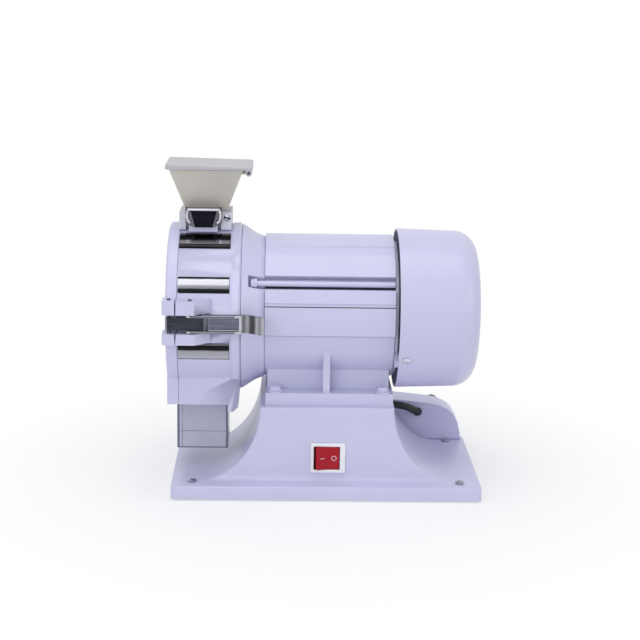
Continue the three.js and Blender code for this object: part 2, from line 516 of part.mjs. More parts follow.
// Drum body with block, heel, chute, throat, strip pockets, latch and hinge lugs
const bandR = drum.radius - drum.band;
const drumLoop = [[drum.x0, drum.bore], [drum.x0, bandR], [drum.x1 - drum.rim, bandR],
  [drum.x1 - drum.rim, drum.radius], [drum.x1 - overrun, drum.radius], [drum.x1, drum.radius - overrun],
  [drum.x1, drum.hub], [drum.x1 - drum.back, drum.hub], [drum.x1 - drum.back, drum.bore],
  [drum.x0, drum.bore]];
const heelX = drum.x1 - block.heel - overrun;
const blockSolid = block3(drum.x0, heelX, -block.halfY, block.halfY, blockLow, blockLow + block.tall);
const heelLow = blockLow - block.heelDrop;
const heelSolid = prism([[heelX - weld, heelLow], [drum.x1 - overrun - block.chamfer, heelLow],
  [drum.x1 - overrun, heelLow + block.chamfer], [drum.x1 - overrun, blockLow + block.tall],
  [heelX - weld, blockLow + block.tall]], 'y', -block.halfY, block.halfY);
const chamber = rod3('x', 0, axisZ, drum.bore, drum.x0 - overrun, drum.x1 - drum.back, 48);
const chuteX = hopper.x;
const chuteCut = block3(chuteX - chute.halfX, chuteX + chute.halfX, -chute.halfY, chute.halfY,
  heelLow - overrun, axisZ - drum.bore / 2);
const throatCut = block3(hopper.x - hopper.neckHalfX - gap, hopper.x + hopper.neckHalfX + gap,
  -hopper.halfY - gap, hopper.halfY + gap, axisZ + drum.bore / 2, drumTop + overrun);
const stripX0 = drum.x0 + overrun;
const stripX1 = drum.x1 - drum.rim - overrun;
const stripBlock = (a, half, x0, x1, r0, r1) => turnX(block3(x0, x1, r0, r1, axisZ - half, axisZ + half), a);
const bothSides = strip.angles.map((a, k) => [180 - a, strip.halfs[k]]);
const stripPockets = bothSides.map(([a, half]) => stripBlock(a, half + gap, stripX0 - gap, stripX1 + gap,
  drum.radius - strip.deep - gap, drum.radius + overrun));
const lugPlan = [[drum.x0, -drum.radius + 8], [drum.x0, -drum.radius - lug.out],
  [drum.x0 + lug.flat, -drum.radius - lug.out], [lug.x1, -drum.radius - 1], [lug.x1, -drum.radius + 8]];
const drumLugs = [prism(lugPlan, 'z', lug.low, lug.inLow), prism(lugPlan, 'z', lug.inHigh, lug.high)];
const pivotY = -drum.radius - latch.out;
const pinHole = (x, y, r) => rod3('z', x, y, r + gap, lug.low - overrun, lug.high + overrun, 12);
const hingeX = drum.x0 - gap - door.thick / 2;
const hingeY = drum.radius + hinge.out;
const hingeKnuckle = (z0, z1) => join(rod3('z', hingeX, hingeY, hinge.radius, z0, z1, 12),
  block3(hingeX, drum.x0 + hinge.out, hingeY - hinge.radius, hingeY + hinge.radius, z0, z1),
  block3(drum.x0 + gap, drum.x0 + hinge.out, drum.radius - hinge.out, hingeY + hinge.radius, z0, z1));
const hingeLow = axisZ - hinge.mid - gap;
const hingeHigh = axisZ + hinge.mid + gap;
piece('drum_body', cut(join(turned(drumLoop, 'x', 0, axisZ, 48), blockSolid, heelSolid, ...drumLugs,
  hingeKnuckle(hingeLow - hinge.tall, hingeLow), hingeKnuckle(hingeHigh, hingeHigh + hinge.tall)),
chamber, chuteCut, throatCut, ...stripPockets, pinHole(latch.pivotX, pivotY, latch.pin),
rod3('z', hingeX, hingeY, hinge.pin + gap, hingeLow - hinge.tall - overrun, hingeHigh + hinge.tall + overrun, 12)),
paint);
const stripPiece = ([a, half]) => {
  const r1 = drum.radius - strip.sunk;
  const r0 = drum.radius - strip.deep;
  const g = loft([
    [[stripX0, r0, -half], [stripX1, r0, -half], [stripX1, r0, half], [stripX0, r0, half]],
    [[stripX0, r0 + strip.sunk, -half], [stripX1, r0 + strip.sunk, -half], [stripX1, r0 + strip.sunk, half],
      [stripX0, r0 + strip.sunk, half]],
    [[stripX0 + strip.endIn, r1, -half + strip.endIn], [stripX1 - strip.endIn, r1, -half + strip.endIn],
      [stripX1 - strip.endIn, r1, half - strip.endIn], [stripX0 + strip.endIn, r1, half - strip.endIn]]]);
  return turnX(g.translate(0, 0, axisZ), a);
};
bothSides.forEach((spot, i) => piece(`chamber_strip_${i + 1}`, stripPiece(spot), chrome));
piece('shaft_seal', ring3('x', 0, axisZ, shaft.endRadius + gap, drum.hub - gap, drum.x1 - drum.back + 1,
  drum.x1 - gap, 16), black);

// Toothed grinding ring with a throat window and a sieve below
const ringX1 = drum.x1 - drum.back - gap;
const ringX0 = drum.x0 + liner.gapEnd;
const ringOuter = drum.bore - gap;
const toothOutline = Array.from({ length: liner.teeth * 2 }, (_, i) => {
  const a = rad((360 * i) / (liner.teeth * 2));
  const r = ringOuter - liner.thick + (i % 2 ? liner.tooth : 0);
  return [r * Math.cos(a), axisZ + r * Math.sin(a)];
});
const ringSolid = prism(circle(0, axisZ, ringOuter, 48), 'x', ringX0, ringX1, [toothOutline.reverse()]);
const sieveWindow = block3(ringX0 - overrun, ringX1 + overrun, -liner.window, liner.window,
  axisZ - drum.radius, axisZ - drum.bore / 2);
const ringThroat = block3(hopper.x - hopper.neckHalfX, hopper.x + hopper.neckHalfX, -hopper.halfY,
  hopper.halfY, axisZ + drum.bore / 2, drumTop);
piece('grinding_ring', cut(ringSolid, sieveWindow, ringThroat), steel);
const sieveHalf = liner.window - gap * 2;
const sieveBand = common(ring3('x', 0, axisZ, ringOuter - sieve.thick, ringOuter, ringX0, ringX1, 48),
  block3(ringX0, ringX1, -sieveHalf, sieveHalf, axisZ - drum.radius, axisZ - drum.bore / 2));
const sieveSlots = Array.from({ length: sieve.slots }, (_, i) => {
  const x = chuteX + ((i - (sieve.slots - 1) / 2) * 2 * (chute.halfX - sieve.slotWide)) / (sieve.slots - 1);
  return block3(x - sieve.slotWide / 2, x + sieve.slotWide / 2, -chute.halfY, chute.halfY,
    axisZ - drum.radius, axisZ - drum.bore / 2);
});
piece('sieve', cut(sieveBand, ...sieveSlots), steel);

// Beater rotor and its nut
const discX0 = (beater.x0 + beater.x1) / 2 - beater.disc / 2;
const arm = (i) => turnX(block3(beater.x0 + nut.thick, beater.x1, beater.hub, beater.tip,
  axisZ - beater.thick / 2, axisZ + beater.thick / 2), (i * 360) / beater.blades);
piece('beater_rotor', cut(join(rod3('x', 0, axisZ, beater.radius, discX0, discX0 + beater.disc, 24),
  rod3('x', 0, axisZ, beater.hub + overrun, beater.x0 + nut.thick + gap, beater.x1, 16),
  ...Array.from({ length: beater.blades }, (_, i) => arm(i))),
rod3('x', 0, axisZ, shaft.endRadius + gap, drum.x0, beater.x1 + overrun, 16)), steel);
piece('rotor_nut', cut(rod3('x', 0, axisZ, nut.radius + overrun, beater.x0, beater.x0 + nut.thick, 6),
  rod3('x', 0, axisZ, shaft.endRadius + gap, beater.x0 - overrun, beater.x0 + nut.thick + overrun, 20)), dark);

// Door with its block, boss, keeper lugs and hinge knuckle
const doorIn = drum.x0 - door.gap;
const doorOut = doorIn - door.thick;
const doorDisc = turned([[doorOut, 0], [doorOut, door.radius - door.edge], [doorOut + door.edge / 3,
  door.radius - door.edge / 3], [doorOut + door.edge, door.radius], [doorIn, door.radius], [doorIn, 0]],
'x', 0, axisZ, 48);
const doorBoss = rod3('x', 0, axisZ, door.bossRadius - liner.thick, doorIn - weld, doorIn + door.boss, 40);
const doorBlock = block3(doorOut, doorIn, -block.halfY, block.halfY, blockLow, blockLow + block.tall);
const keeperPlan = [[doorOut - overrun, -door.radius + 6], [doorOut - overrun, -door.radius - lug.out + 2],
  [doorOut, -door.radius - lug.out], [doorIn - overrun / 2, -door.radius - lug.out],
  [doorIn - overrun / 2, -door.radius + 6]];
const keeperLugs = [prism(keeperPlan, 'z', lug.low, lug.inLow), prism(keeperPlan, 'z', lug.inHigh, lug.high)];
const doorKnuckle = join(rod3('z', hingeX, hingeY, hinge.radius, axisZ - hinge.mid, axisZ + hinge.mid, 16),
  block3(doorOut + overrun, doorIn, door.radius - hinge.out, hingeY, axisZ - hinge.mid, axisZ + hinge.mid));
const keeperY = -door.radius - latch.out + claw.keeperIn;
const gasketCut = ring3('x', 0, axisZ, gasket.inner - gap, gasket.outer + gap, doorIn - gasket.thick - gap,
  doorIn + overrun, 32);
piece('door_plate', cut(join(doorDisc, doorBoss, doorBlock, ...keeperLugs, doorKnuckle), gasketCut,
  pinHole(latch.keeperX, keeperY, claw.keeperPin),
  rod3('z', hingeX, hingeY, hinge.pin + gap, axisZ - hinge.mid - overrun, axisZ + hinge.mid + overrun, 16)), paint);
piece('door_gasket', ring3('x', 0, axisZ, gasket.inner, gasket.outer, doorIn - gasket.thick, doorIn, 32), black);
piece('hinge_pin', rod3('z', hingeX, hingeY, hinge.pin, hingeLow - hinge.tall - 1, hingeHigh + hinge.tall + 1, 16), steel);
piece('keeper_pin', rod3('z', latch.keeperX, keeperY, claw.keeperPin, lug.low - 1, lug.high + 1, 16), dark);

// Toggle latch: U-shaped lever on two stub pins, hook between its walls
const wallLow = lug.inLow + gap * 2;
const wallHigh = lug.inHigh - gap * 2;
const linkX = latch.pivotX + latch.link;
const linkY = pivotY + 0.6;
const leverPlan = [...circle(latch.pivotX, pivotY, latch.eye, 6, 90, 180),
  [tab.bendX - 6, pivotY - 3.4], [tab.bendX, pivotY - 1.4], [tab.bendX, pivotY + latch.eye]];
const webY = pivotY + latch.eye;
const web = block3(linkX + 4, tab.bendX, webY - latch.wall, webY, wallLow, wallHigh);
const tabPlan = [[tab.bendX - 2, webY - latch.wall], [tab.bendX + 4, webY - latch.wall - 0.6],
  [tab.bendX + 9, webY - latch.wall - 3.4], [tab.bendX + 14, webY - latch.wall - tab.lift + 1],
  [latch.end - 2, webY - latch.wall - tab.lift - 0.6], [latch.end, webY - latch.wall - tab.lift],
  [latch.end - 1, webY - tab.lift], [tab.bendX + 14.6, webY - tab.lift + 2.4], [tab.bendX + 10, webY - 2],
  [tab.bendX + 5, webY + 0.6], [tab.bendX - 2, webY]];
piece('latch_lever', cut(join(
  prism(leverPlan, 'z', wallLow, wallLow + latch.wall), prism(leverPlan, 'z', wallHigh - latch.wall, wallHigh),
  web, prism(tabPlan, 'z', wallLow, wallHigh)),
pinHole(latch.pivotX, pivotY, latch.pin), pinHole(linkX, linkY, latch.pin)), steel);
const stubIn = latch.wall + gap * 2;
piece('lever_pin_low', rod3('z', latch.pivotX, pivotY, latch.pin, lug.low - 1, wallLow + stubIn - gap, 14), dark);
piece('lever_pin_high', rod3('z', latch.pivotX, pivotY, latch.pin, wallHigh - stubIn + gap, lug.high + 1, 14), dark);
const hookLow = wallLow + stubIn;
const hookHigh = wallHigh - stubIn;
const hookOut = linkY - claw.thick / 2;
const hookPlan = [[linkX, linkY + 3], [linkX - 4, linkY + claw.thick / 2], [latch.keeperX + 4, linkY + claw.thick / 2],
  [latch.keeperX + 2.5, keeperY - claw.keeperPin - gap - 0.1], [latch.keeperX - 2.6, keeperY - claw.keeperPin - gap - 0.1],
  [latch.keeperX - 3.2, hookOut - 0.2], [latch.keeperX - 1.6, hookOut - 1.6], [latch.keeperX + 6, hookOut - 1.2],
  [linkX - 8, hookOut - 0.6], [linkX, linkY - 3], [linkX + 3, linkY]];
piece('latch_hook', cut(prism(hookPlan, 'z', hookLow, hookHigh), pinHole(linkX, linkY, latch.pin)), dark);
piece('hook_pin', rod3('z', linkX, linkY, latch.pin, wallLow - gap, wallHigh + gap, 14), steel);

// Hopper: saddle base on the drum, funnel, lid with hinge pin, clip with pin
const saddleBlock = join(
  block3(saddle.x0, saddle.x1, -saddle.halfY, saddle.halfY, drumTop - 12, saddle.top),
  block3(hopper.x - clip.halfX + clip.cheek + gap, hopper.x + clip.halfX - clip.cheek - gap, -saddle.midY,
    saddle.midY, drumTop - 12, saddle.midTop));
const cheekCut = (x) => block3(x, x + clip.cheek + gap * 4, -saddle.midY - overrun,
  -saddle.halfY + 7, drumTop - 14, saddle.top + overrun);
const pinY = -saddle.midY + clip.pinIn;
const clipX0 = hopper.x - clip.halfX;
const clipX1 = hopper.x + clip.halfX;
const clipPin = rod3('x', pinY, clip.pinZ, clip.pin, clipX0 - 1.6, clipX1 + 1.6, 12);
piece('hopper_base', join(clipPin, cut(saddleBlock,
  rod3('x', 0, axisZ, drum.radius + gap, saddle.x0 - overrun, saddle.x1 + overrun, 48),
  block3(hopper.x - hopper.neckHalfX - gap, hopper.x + hopper.neckHalfX + gap, -hopper.halfY - gap,
    hopper.halfY + gap, drumTop - 20, saddle.top + overrun),
  cheekCut(hopper.x - clip.halfX - gap * 2), cheekCut(hopper.x + clip.halfX - clip.cheek - gap * 2),
  rod3('y', saddle.x1 - 4.4, saddle.top - 6.5, 1.3 + gap, -saddle.halfY - overrun, -saddle.halfY + 6, 12))), white);
const neckLow = drumTop - 9;
const funnelOuter = (i) => [[hopper.x, 0, hopper.neckHalfX - i, hopper.halfY - i, neckLow - (i ? overrun : 0)],
  [hopper.x, 0, hopper.neckHalfX - i, hopper.halfY - i, saddle.top + gap],
  [hopper.x, 0, funnel.halfX0 - i, funnel.halfY0 - i, funnel.z0],
  [hopper.x, 0, hopper.topHalfX - i, hopper.topHalfY - i, funnel.z1],
  ...(i ? [[hopper.x, 0, hopper.topHalfX - i, hopper.topHalfY - i, funnel.z1 + overrun]] : [])];
const lidLow = funnel.z1 + gap;
const pinZ = lidLow - lid.knuckle + 0.9;
const earAt = (y0, y1) => join(rod3('y', lid.pinX, pinZ, lid.earRadius, y0, y1, 12), block3(hopper.x + hopper.topHalfX - overrun * 2,
  lid.pinX, y0, y1, pinZ - lid.earRadius, pinZ + lid.earRadius / 2));
const funnelSolid = join(rectLoft(funnelOuter(0)), earAt(-lid.halfY + 7, -lid.halfY + 7 + lid.ear),
  earAt(lid.halfY - 7 - lid.ear, lid.halfY - 7));
piece('hopper_funnel', cut(funnelSolid, rectLoft(funnelOuter(funnel.wall)),
  rod3('y', lid.pinX, pinZ, lid.pin + gap, -lid.halfY - overrun, lid.halfY + overrun, 12)), cream);
const lidEnd = lid.pinX + lid.knuckle;
const lidPlate = prism(roundRect((lid.x0 + lidEnd) / 2, 0, (lidEnd - lid.x0) / 2, lid.halfY, 3), 'z', lidLow,
  lidLow + lid.thick);
const lidKnuckle = (y0, y1) => join(rod3('y', lid.pinX, pinZ, lid.knuckle, y0, y1, 12),
  block3(lid.pinX, lidEnd, y0, y1, pinZ, lidLow + 1));
const earGap = gap * 2;
piece('hopper_lid', cut(join(lidPlate,
  lidKnuckle(-lid.halfY, -lid.halfY + 7 - earGap), lidKnuckle(lid.halfY - 7 + earGap, lid.halfY),
  lidKnuckle(-lid.halfY + 7 + lid.ear + earGap, lid.halfY - 7 - lid.ear - earGap)),
rod3('y', lid.pinX, pinZ, lid.pin + gap, -lid.halfY - overrun, lid.halfY + overrun, 12)), white);
piece('lid_pin', rod3('y', lid.pinX, pinZ, lid.pin, -lid.halfY - 1, lid.halfY + 1, 12), dark);
const clipY = -saddle.midY - gap * 2;
const cheekPlan = [[clipY - clip.thick, clip.low + 5], [clipY - clip.thick, clip.top - 1],
  [clipY - clip.thick + 3, clip.top], [pinY + 3, clip.pinZ + 3], [pinY + 3, clip.pinZ - 3], [pinY, clip.pinZ - 5],
  [clipY + 1, clip.low + 4]];
const tongue = loft([
  [[hopper.x - 12, clipY - clip.thick + weld, clip.top - 4], [hopper.x + 12, clipY - clip.thick + weld, clip.top - 4],
    [hopper.x + 8, clipY - clip.thick + weld, clip.low], [hopper.x - 8, clipY - clip.thick + weld, clip.low]],
  [[hopper.x - 10.5, clipY - clip.thick - 1.4, clip.top - 5.5], [hopper.x + 10.5, clipY - clip.thick - 1.4, clip.top - 5.5],
    [hopper.x + 7, clipY - clip.thick - 1.4, clip.low + 1], [hopper.x - 7, clipY - clip.thick - 1.4, clip.low + 1]]]);
const clipPlate = prism([[clipX0, clip.low + 5], [clipX0 + 4, clip.low + 1.5], [hopper.x - 8, clip.low],
  [hopper.x + 8, clip.low], [clipX1 - 4, clip.low + 1.5], [clipX1, clip.low + 5], [clipX1, clip.top - 2],
  [clipX1 - 2, clip.top], [clipX0 + 2, clip.top], [clipX0, clip.top - 2]], 'y', clipY - clip.thick, clipY);
piece('hopper_clip', cut(join(clipPlate, tongue, prism(cheekPlan, 'x', clipX0, clipX0 + clip.cheek),
  prism(cheekPlan, 'x', clipX1 - clip.cheek, clipX1)),
rod3('x', pinY, clip.pinZ, clip.pin + gap, clipX0 - overrun, clipX1 + overrun, 12)), chrome);
piece('hopper_screw', panScrew(2.6, 1.2, 1.3, 4).rotateX(Math.PI / 2)
  .translate(saddle.x1 - 4.4, -saddle.halfY - gap, saddle.top - 6.5), dark);

// Spout shoe under the block and the sample box hanging on it
const shoeTop = blockLow - gap;
const boxTop = blockLow - box.topGap;
const shoeX = (box.x0 + box.x1) / 2;
const flangeHalf = shoe.halfX;
const neckHalf = flangeHalf - box.lip - gap * 2;
const lipLow = boxTop - box.wall;
const shoeFlangeTop = lipLow - gap;
piece('spout_shoe', cut(join(
  block3(shoeX - neckHalf, shoeX + neckHalf, -shoe.halfY, shoe.halfY - overrun, shoeFlangeTop - weld, shoeTop),
  block3(shoeX - flangeHalf, shoeX + flangeHalf, -shoe.halfY, shoe.halfY - overrun, shoeFlangeTop - shoe.flange,
    shoeFlangeTop)),
block3(shoeX - chute.halfX + overrun, shoeX + chute.halfX - overrun, -chute.halfY, chute.halfY,
  shoeFlangeTop - shoe.flange - overrun, shoeTop + overrun)), alloy);
const boxBackTop = shoeFlangeTop - shoe.flange - gap * 2;
piece('sample_box', cut(
  block3(box.x0, box.x1, box.y0, box.y1, box.low, boxTop),
  block3(box.x0 + box.wall, box.x1 - box.wall, box.y0 + box.wall, box.y1 - box.wall, box.low + box.wall,
    lipLow),
  block3(box.x0 + box.wall + box.lip, box.x1 - box.wall - box.lip, box.y0 + box.wall, box.y1 + overrun,
    lipLow - overrun, boxTop + overrun),
  block3(box.x0 - overrun, box.x1 + overrun, box.y1 - box.wall - gap, box.y1 + overrun, boxBackTop,
    boxTop + overrun)), smoke);

// Move the frame so that its origin lies under the middle of the whole part, on the floor
const whole = new THREE.Box3().setFromObject(mill);
const middle = whole.getCenter(new THREE.Vector3());
const shift = [-middle.x, -middle.y, -whole.min.z];
for (const mesh of mill.children) mesh.geometry.translate(...shift);
mill.userData.shift = shift;
mill.userData.spots = {
  rotor: [0, 0, axisZ], door: [hingeX, hingeY, axisZ], lever: [latch.pivotX, pivotY, (wallLow + wallHigh) / 2],
  hook: [linkX, linkY, (wallLow + wallHigh) / 2], lid: [lid.pinX, 0, pinZ], clip: [hopper.x, pinY, clip.pinZ],
  box: [shoeX, (box.y0 + box.y1) / 2, box.low], rocker: [bezel.x, rockerY, bezel.z],
  foot: [footSpots[0][0], footSpots[0][1], 0],
};

export default mill;
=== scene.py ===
"""Looks of a bench-top analytical lab mill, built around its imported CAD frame.

Metres, +Z up, +X along the motor axis away from the mill drum, camera on the -Y side.
"""

import json
import math

import bmesh
import bpy
from mathutils import Matrix, Vector
from mathutils.bvhtree import BVHTree


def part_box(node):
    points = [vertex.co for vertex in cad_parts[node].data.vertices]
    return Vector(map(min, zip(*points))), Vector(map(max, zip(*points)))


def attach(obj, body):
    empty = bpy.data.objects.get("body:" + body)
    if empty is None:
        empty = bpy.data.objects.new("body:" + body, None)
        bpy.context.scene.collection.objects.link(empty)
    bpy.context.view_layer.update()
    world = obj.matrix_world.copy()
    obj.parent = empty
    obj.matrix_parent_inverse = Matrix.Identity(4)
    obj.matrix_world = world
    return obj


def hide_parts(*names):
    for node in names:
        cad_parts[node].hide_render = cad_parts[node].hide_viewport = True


MM = 0.001
QUARTER = math.pi / 2

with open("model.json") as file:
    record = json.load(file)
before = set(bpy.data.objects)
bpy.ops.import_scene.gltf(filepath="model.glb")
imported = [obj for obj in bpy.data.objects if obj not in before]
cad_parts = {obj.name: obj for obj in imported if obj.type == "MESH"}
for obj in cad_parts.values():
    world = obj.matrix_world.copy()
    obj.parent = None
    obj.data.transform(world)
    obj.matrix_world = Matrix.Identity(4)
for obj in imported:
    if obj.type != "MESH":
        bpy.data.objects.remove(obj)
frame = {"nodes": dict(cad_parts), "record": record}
nodes = frame["nodes"]
slot_of = {part["node"]: part["material_slot"] for part in frame["record"]["subparts"]}
body_of = {name: body for body, members in frame["record"]["behaviour"]["bodies"].items() for name in members}
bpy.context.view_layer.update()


def in_mm(**sizes):
    """Sizes in metres by label, given in millimetres, with blanks for the labels' underscores."""
    return {label.replace("_", " "): size * MM for label, size in sizes.items()}


class Wiring:
    """Short calls that add and join the nodes of one tree."""

    def __init__(self, tree):
        self.tree = tree

    def link(self, source, socket):
        """Joins the socket to another one, or sets it to a plain value."""
        if hasattr(source, "is_output"):
            self.tree.links.new(source, socket)
        elif source is not None:
            socket.default_value = source

    def node(self, kind, properties=None, **values):
        made = self.tree.nodes.new(kind)
        for key, value in (properties or {}).items():
            setattr(made, key, value)
        for key, value in values.items():
            self.link(value, made.inputs[key.replace("_", " ")])
        return made

    def first(self, kind, **values):
        """The first output of a new node."""
        return self.node(kind, **values).outputs[0]

    def calc(self, operation, *terms, kind="ShaderNodeMath"):
        """A math node's result. Its inputs are taken by place."""
        made = self.node(kind, {"operation": operation})
        for term, socket in zip(terms, made.inputs):
            self.link(term, socket)
        return made.outputs["Value"]


# Finishes: every one is a procedural material on object coordinates

def new_finish(name, metallic=0.0):
    """A material, its wiring, its shader and the object coordinates to build on."""
    finish = bpy.data.materials.new(name)
    finish.use_nodes = True
    w = Wiring(finish.node_tree)
    shader = w.tree.nodes["Principled BSDF"]
    shader.inputs["Metallic"].default_value = metallic
    return finish, w, shader, w.node("ShaderNodeTexCoord").outputs["Object"]


def grain(w, place, per_metre, detail=2.0, stretch=(1, 1, 1)):
    """Noise with about per_metre features in a metre, stretched along the axes."""
    mapped = w.first("ShaderNodeMapping", Vector=place, Scale=stretch)
    return w.first("ShaderNodeTexNoise", Vector=mapped, Scale=per_metre, Detail=detail)


def tinted(w, shader, fac, low, high, span=(0.35, 0.65)):
    """The base colour runs from low to high as the pattern does."""
    ramp = w.node("ShaderNodeValToRGB", Fac=fac)
    first, last = ramp.color_ramp.elements
    first.position, last.position = span
    first.color, last.color = (*low, 1), (*high, 1)
    w.link(ramp.outputs["Color"], shader.inputs["Base Color"])


def relief(w, shader, fac, strength, height):
    """A bump of the pattern, height in metres."""
    w.link(w.first("ShaderNodeBump", Strength=strength, Distance=height, Height=fac), shader.inputs["Normal"])


def grained(name, low, high, roughness, tint, gloss, bumps, strength, height, metallic=0.0, **settings):
    """A finish whose colour, roughness and relief each follow a grain of (per metre, detail, stretch)."""
    finish, w, shader, place = new_finish(name, metallic)
    tinted(w, shader, grain(w, place, *tint), low, high)
    w.link(w.first("ShaderNodeMapRange", From_Min=0.3, From_Max=0.7, To_Min=roughness[0], To_Max=roughness[1],
                   Value=grain(w, place, *gloss)), shader.inputs["Roughness"])
    relief(w, shader, grain(w, place, *bumps), strength, height)
    for label, value in settings.items():
        shader.inputs[label.replace("_", " ")].default_value = value
    return finish


def brushed(name, low, high, roughness, stretch=(0.03, 1, 1), height=0.03 * MM, lines_per_metre=1100, **settings):
    """Metal with fine lines along one axis."""
    lines = (lines_per_metre, 2, stretch)
    return grained(name, low, high, roughness, lines, lines, lines, strength=0.2, height=height, metallic=1.0,
                   **settings)


def moulded(name, low, high, roughness, fine=900, strength=0.06, **settings):
    """Moulded plastic or rubber with a fine texture."""
    return grained(name, low, high, roughness, tint=(22, 3), gloss=(70, 2), bumps=(fine, 2), strength=strength,
                   height=0.3 * MM, **settings)


def smoked(name, low, high, through):
    """Grey see-through plastic that lets some light through."""
    return grained(name, low, high, (0.1, 0.2), tint=(30, 3), gloss=(45, 3), bumps=(120, 2), strength=0.03,
                   height=0.5 * MM, Transmission_Weight=through, IOR=1.46)


def painted_reflection_finish(name, along, start, end, stops, roughness):
    """Polished metal with a painted reflection: its colour runs in bands along a direction, from start to end metres
    on it.
    """
    finish, w, shader, place = new_finish(name, 1.0)
    shader.inputs["Roughness"].default_value = roughness
    reach = w.calc("DOT_PRODUCT", place, along, kind="ShaderNodeVectorMath")
    unevenness = 0.06
    wander = w.calc("MULTIPLY_ADD", grain(w, place, 60, 1), (end - start) * unevenness, reach)
    span = w.first("ShaderNodeMapRange", From_Min=start, From_Max=end, Value=wander)
    ramp = w.node("ShaderNodeValToRGB", Fac=span)
    elements = ramp.color_ramp.elements
    while len(elements) < len(stops):
        elements.new(0.5)
    for element, (position, grey) in zip(elements, stops):
        element.position = position
        element.color = (grey, grey, grey * 1.12, 1)
    w.link(ramp.outputs["Color"], shader.inputs["Base Color"])
    relief(w, shader, grain(w, place, 300, 2), 0.04, 0.2 * MM)
    return finish


# Sprayed enamel: orange peel, a slow drift in tone and slightly uneven gloss
paint = grained("lavender_white_enamel", (0.555, 0.555, 0.745), (0.575, 0.575, 0.77), (0.33, 0.37), tint=(9, 1),
                gloss=(20, 1), bumps=(700, 1), strength=0.02, height=0.3 * MM, Coat_Weight=0.12, Coat_Roughness=0.2)
white_plastic = moulded("white_plastic", (0.6, 0.6, 0.68), (0.63, 0.63, 0.71), (0.34, 0.42))
lid_plastic = moulded("lid_plastic", (0.43, 0.425, 0.455), (0.455, 0.45, 0.48), (0.36, 0.44))
frame_plastic = moulded("switch_frame_plastic", (0.8, 0.8, 0.84), (0.84, 0.84, 0.88), (0.3, 0.4))
groove_dark = moulded("shadowed_groove", (0.02, 0.02, 0.032), (0.035, 0.035, 0.05), (0.5, 0.6))
mark_white = moulded("printed_mark_white", (0.62, 0.36, 0.4), (0.7, 0.42, 0.46), (0.4, 0.5))
# Painted shade for the inside of the switch's well, near black and tinted red as by light through the rocker
painted_well_shade = moulded("switch_well_painted_shade", (0.02, 0.008, 0.014), (0.03, 0.012, 0.02), (0.4, 0.5))
cream_plastic = moulded("cream_plastic", (0.51, 0.475, 0.42), (0.56, 0.53, 0.475), (0.34, 0.5), 500,
                        Subsurface_Weight=0.2, Subsurface_Radius=(0.006, 0.005, 0.004))
rubber = moulded("black_rubber", (0.012, 0.012, 0.013), (0.03, 0.03, 0.032), (0.6, 0.85), 700, 0.2)
black_plastic = moulded("black_plastic", (0.014, 0.014, 0.016), (0.035, 0.035, 0.038), (0.4, 0.6))
red_plastic = moulded("red_rocker_plastic", (0.36, 0.008, 0.018), (0.4, 0.011, 0.022), (0.3, 0.4), 500, 0.03,
                      Specular_IOR_Level=0.2)
smoky_clear = smoked("smoky_clear_plastic", (0.5, 0.505, 0.63), (0.53, 0.535, 0.66), 0.08)
smoky_edge = smoked("smoky_plastic_edge", (0.15, 0.148, 0.2), (0.17, 0.168, 0.22), 0.05)
steel = brushed("zinc_plated_steel", (0.36, 0.37, 0.41), (0.46, 0.47, 0.52), (0.24, 0.36))
screw_steel = brushed("bright_zinc_steel", (0.66, 0.67, 0.74), (0.78, 0.79, 0.86), (0.22, 0.32))
chrome = brushed("dark_polished_steel", (0.1, 0.1, 0.12), (0.17, 0.17, 0.2), (0.12, 0.2))
dark_steel = brushed("blackened_steel", (0.07, 0.072, 0.085), (0.12, 0.122, 0.14), (0.3, 0.42))
black_steel = brushed("near_black_steel", (0.006, 0.006, 0.01), (0.014, 0.014, 0.02), (0.35, 0.45),
                      Specular_IOR_Level=0.2)
shadow_steel = brushed("shadowed_steel", (0.02, 0.02, 0.026), (0.06, 0.06, 0.07), (0.3, 0.4))
bright_steel = brushed("bright_brushed_steel", (0.5, 0.5, 0.54), (0.66, 0.66, 0.7), (0.2, 0.3))
hook_steel = brushed("dark_brushed_hook_steel", (0.03, 0.033, 0.045), (0.055, 0.06, 0.078), (0.3, 0.4))
# Lighter steel for rounded edges
edge_steel = brushed("lighter_edge_steel", (0.24, 0.25, 0.29), (0.34, 0.35, 0.4), (0.26, 0.36))
lever_steel = brushed("mid_grey_lever_steel", (0.12, 0.13, 0.175), (0.17, 0.18, 0.235), (0.28, 0.38))
aluminium = brushed("cast_aluminium", (0.5, 0.5, 0.52), (0.62, 0.62, 0.64), (0.35, 0.55), (1, 1, 1), 0.2 * MM, 160)
stator_steel = brushed("stator_laminations", (0.3, 0.3, 0.32), (0.42, 0.42, 0.44), (0.4, 0.6), (1, 0.05, 0.05))
copper = brushed("copper_winding", (0.5, 0.22, 0.09), (0.72, 0.36, 0.16), (0.3, 0.5))

finishes = dict(paint=paint, white_plastic=white_plastic, cream_plastic=cream_plastic, steel=steel, chrome=chrome,
                dark_steel=dark_steel, aluminium=aluminium, copper=copper, rubber=rubber, stator_steel=stator_steel,
                black_plastic=black_plastic, red_plastic=red_plastic, smoke_clear=smoky_clear)


def coated(piece, finish):
    """The piece has this finish only."""
    piece.data.materials.clear()
    piece.data.materials.append(finish)


for name, node in nodes.items():
    coated(node, finishes[slot_of[name]])


# Places taken from the frame: home is the point under the shaft at the middle of the base

def extent(name, offset=Vector()):
    """Lowest and highest corner of a CAD node, moved by the offset."""
    return [Vector(corner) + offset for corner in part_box(name)]


base_low, base_high = extent("base_casting")
shaft_low, shaft_high = extent("motor_shaft")
home = Vector(((base_low.x + base_high.x) / 2, (shaft_low.y + shaft_high.y) / 2, 0))
shaft_z = (shaft_low.z + shaft_high.z) / 2


def on_shaft(x=0.0):
    return Vector((x, home.y, shaft_z))


# Mesh work: points nearer than this are one, and edges that turn by more than these degrees are sharp
doubles = 0.02 * MM
sharp, sharp_when_rounded, flat = 32, 24, 0.6
square = ((-1, -1), (1, -1), (1, 1), (-1, 1))


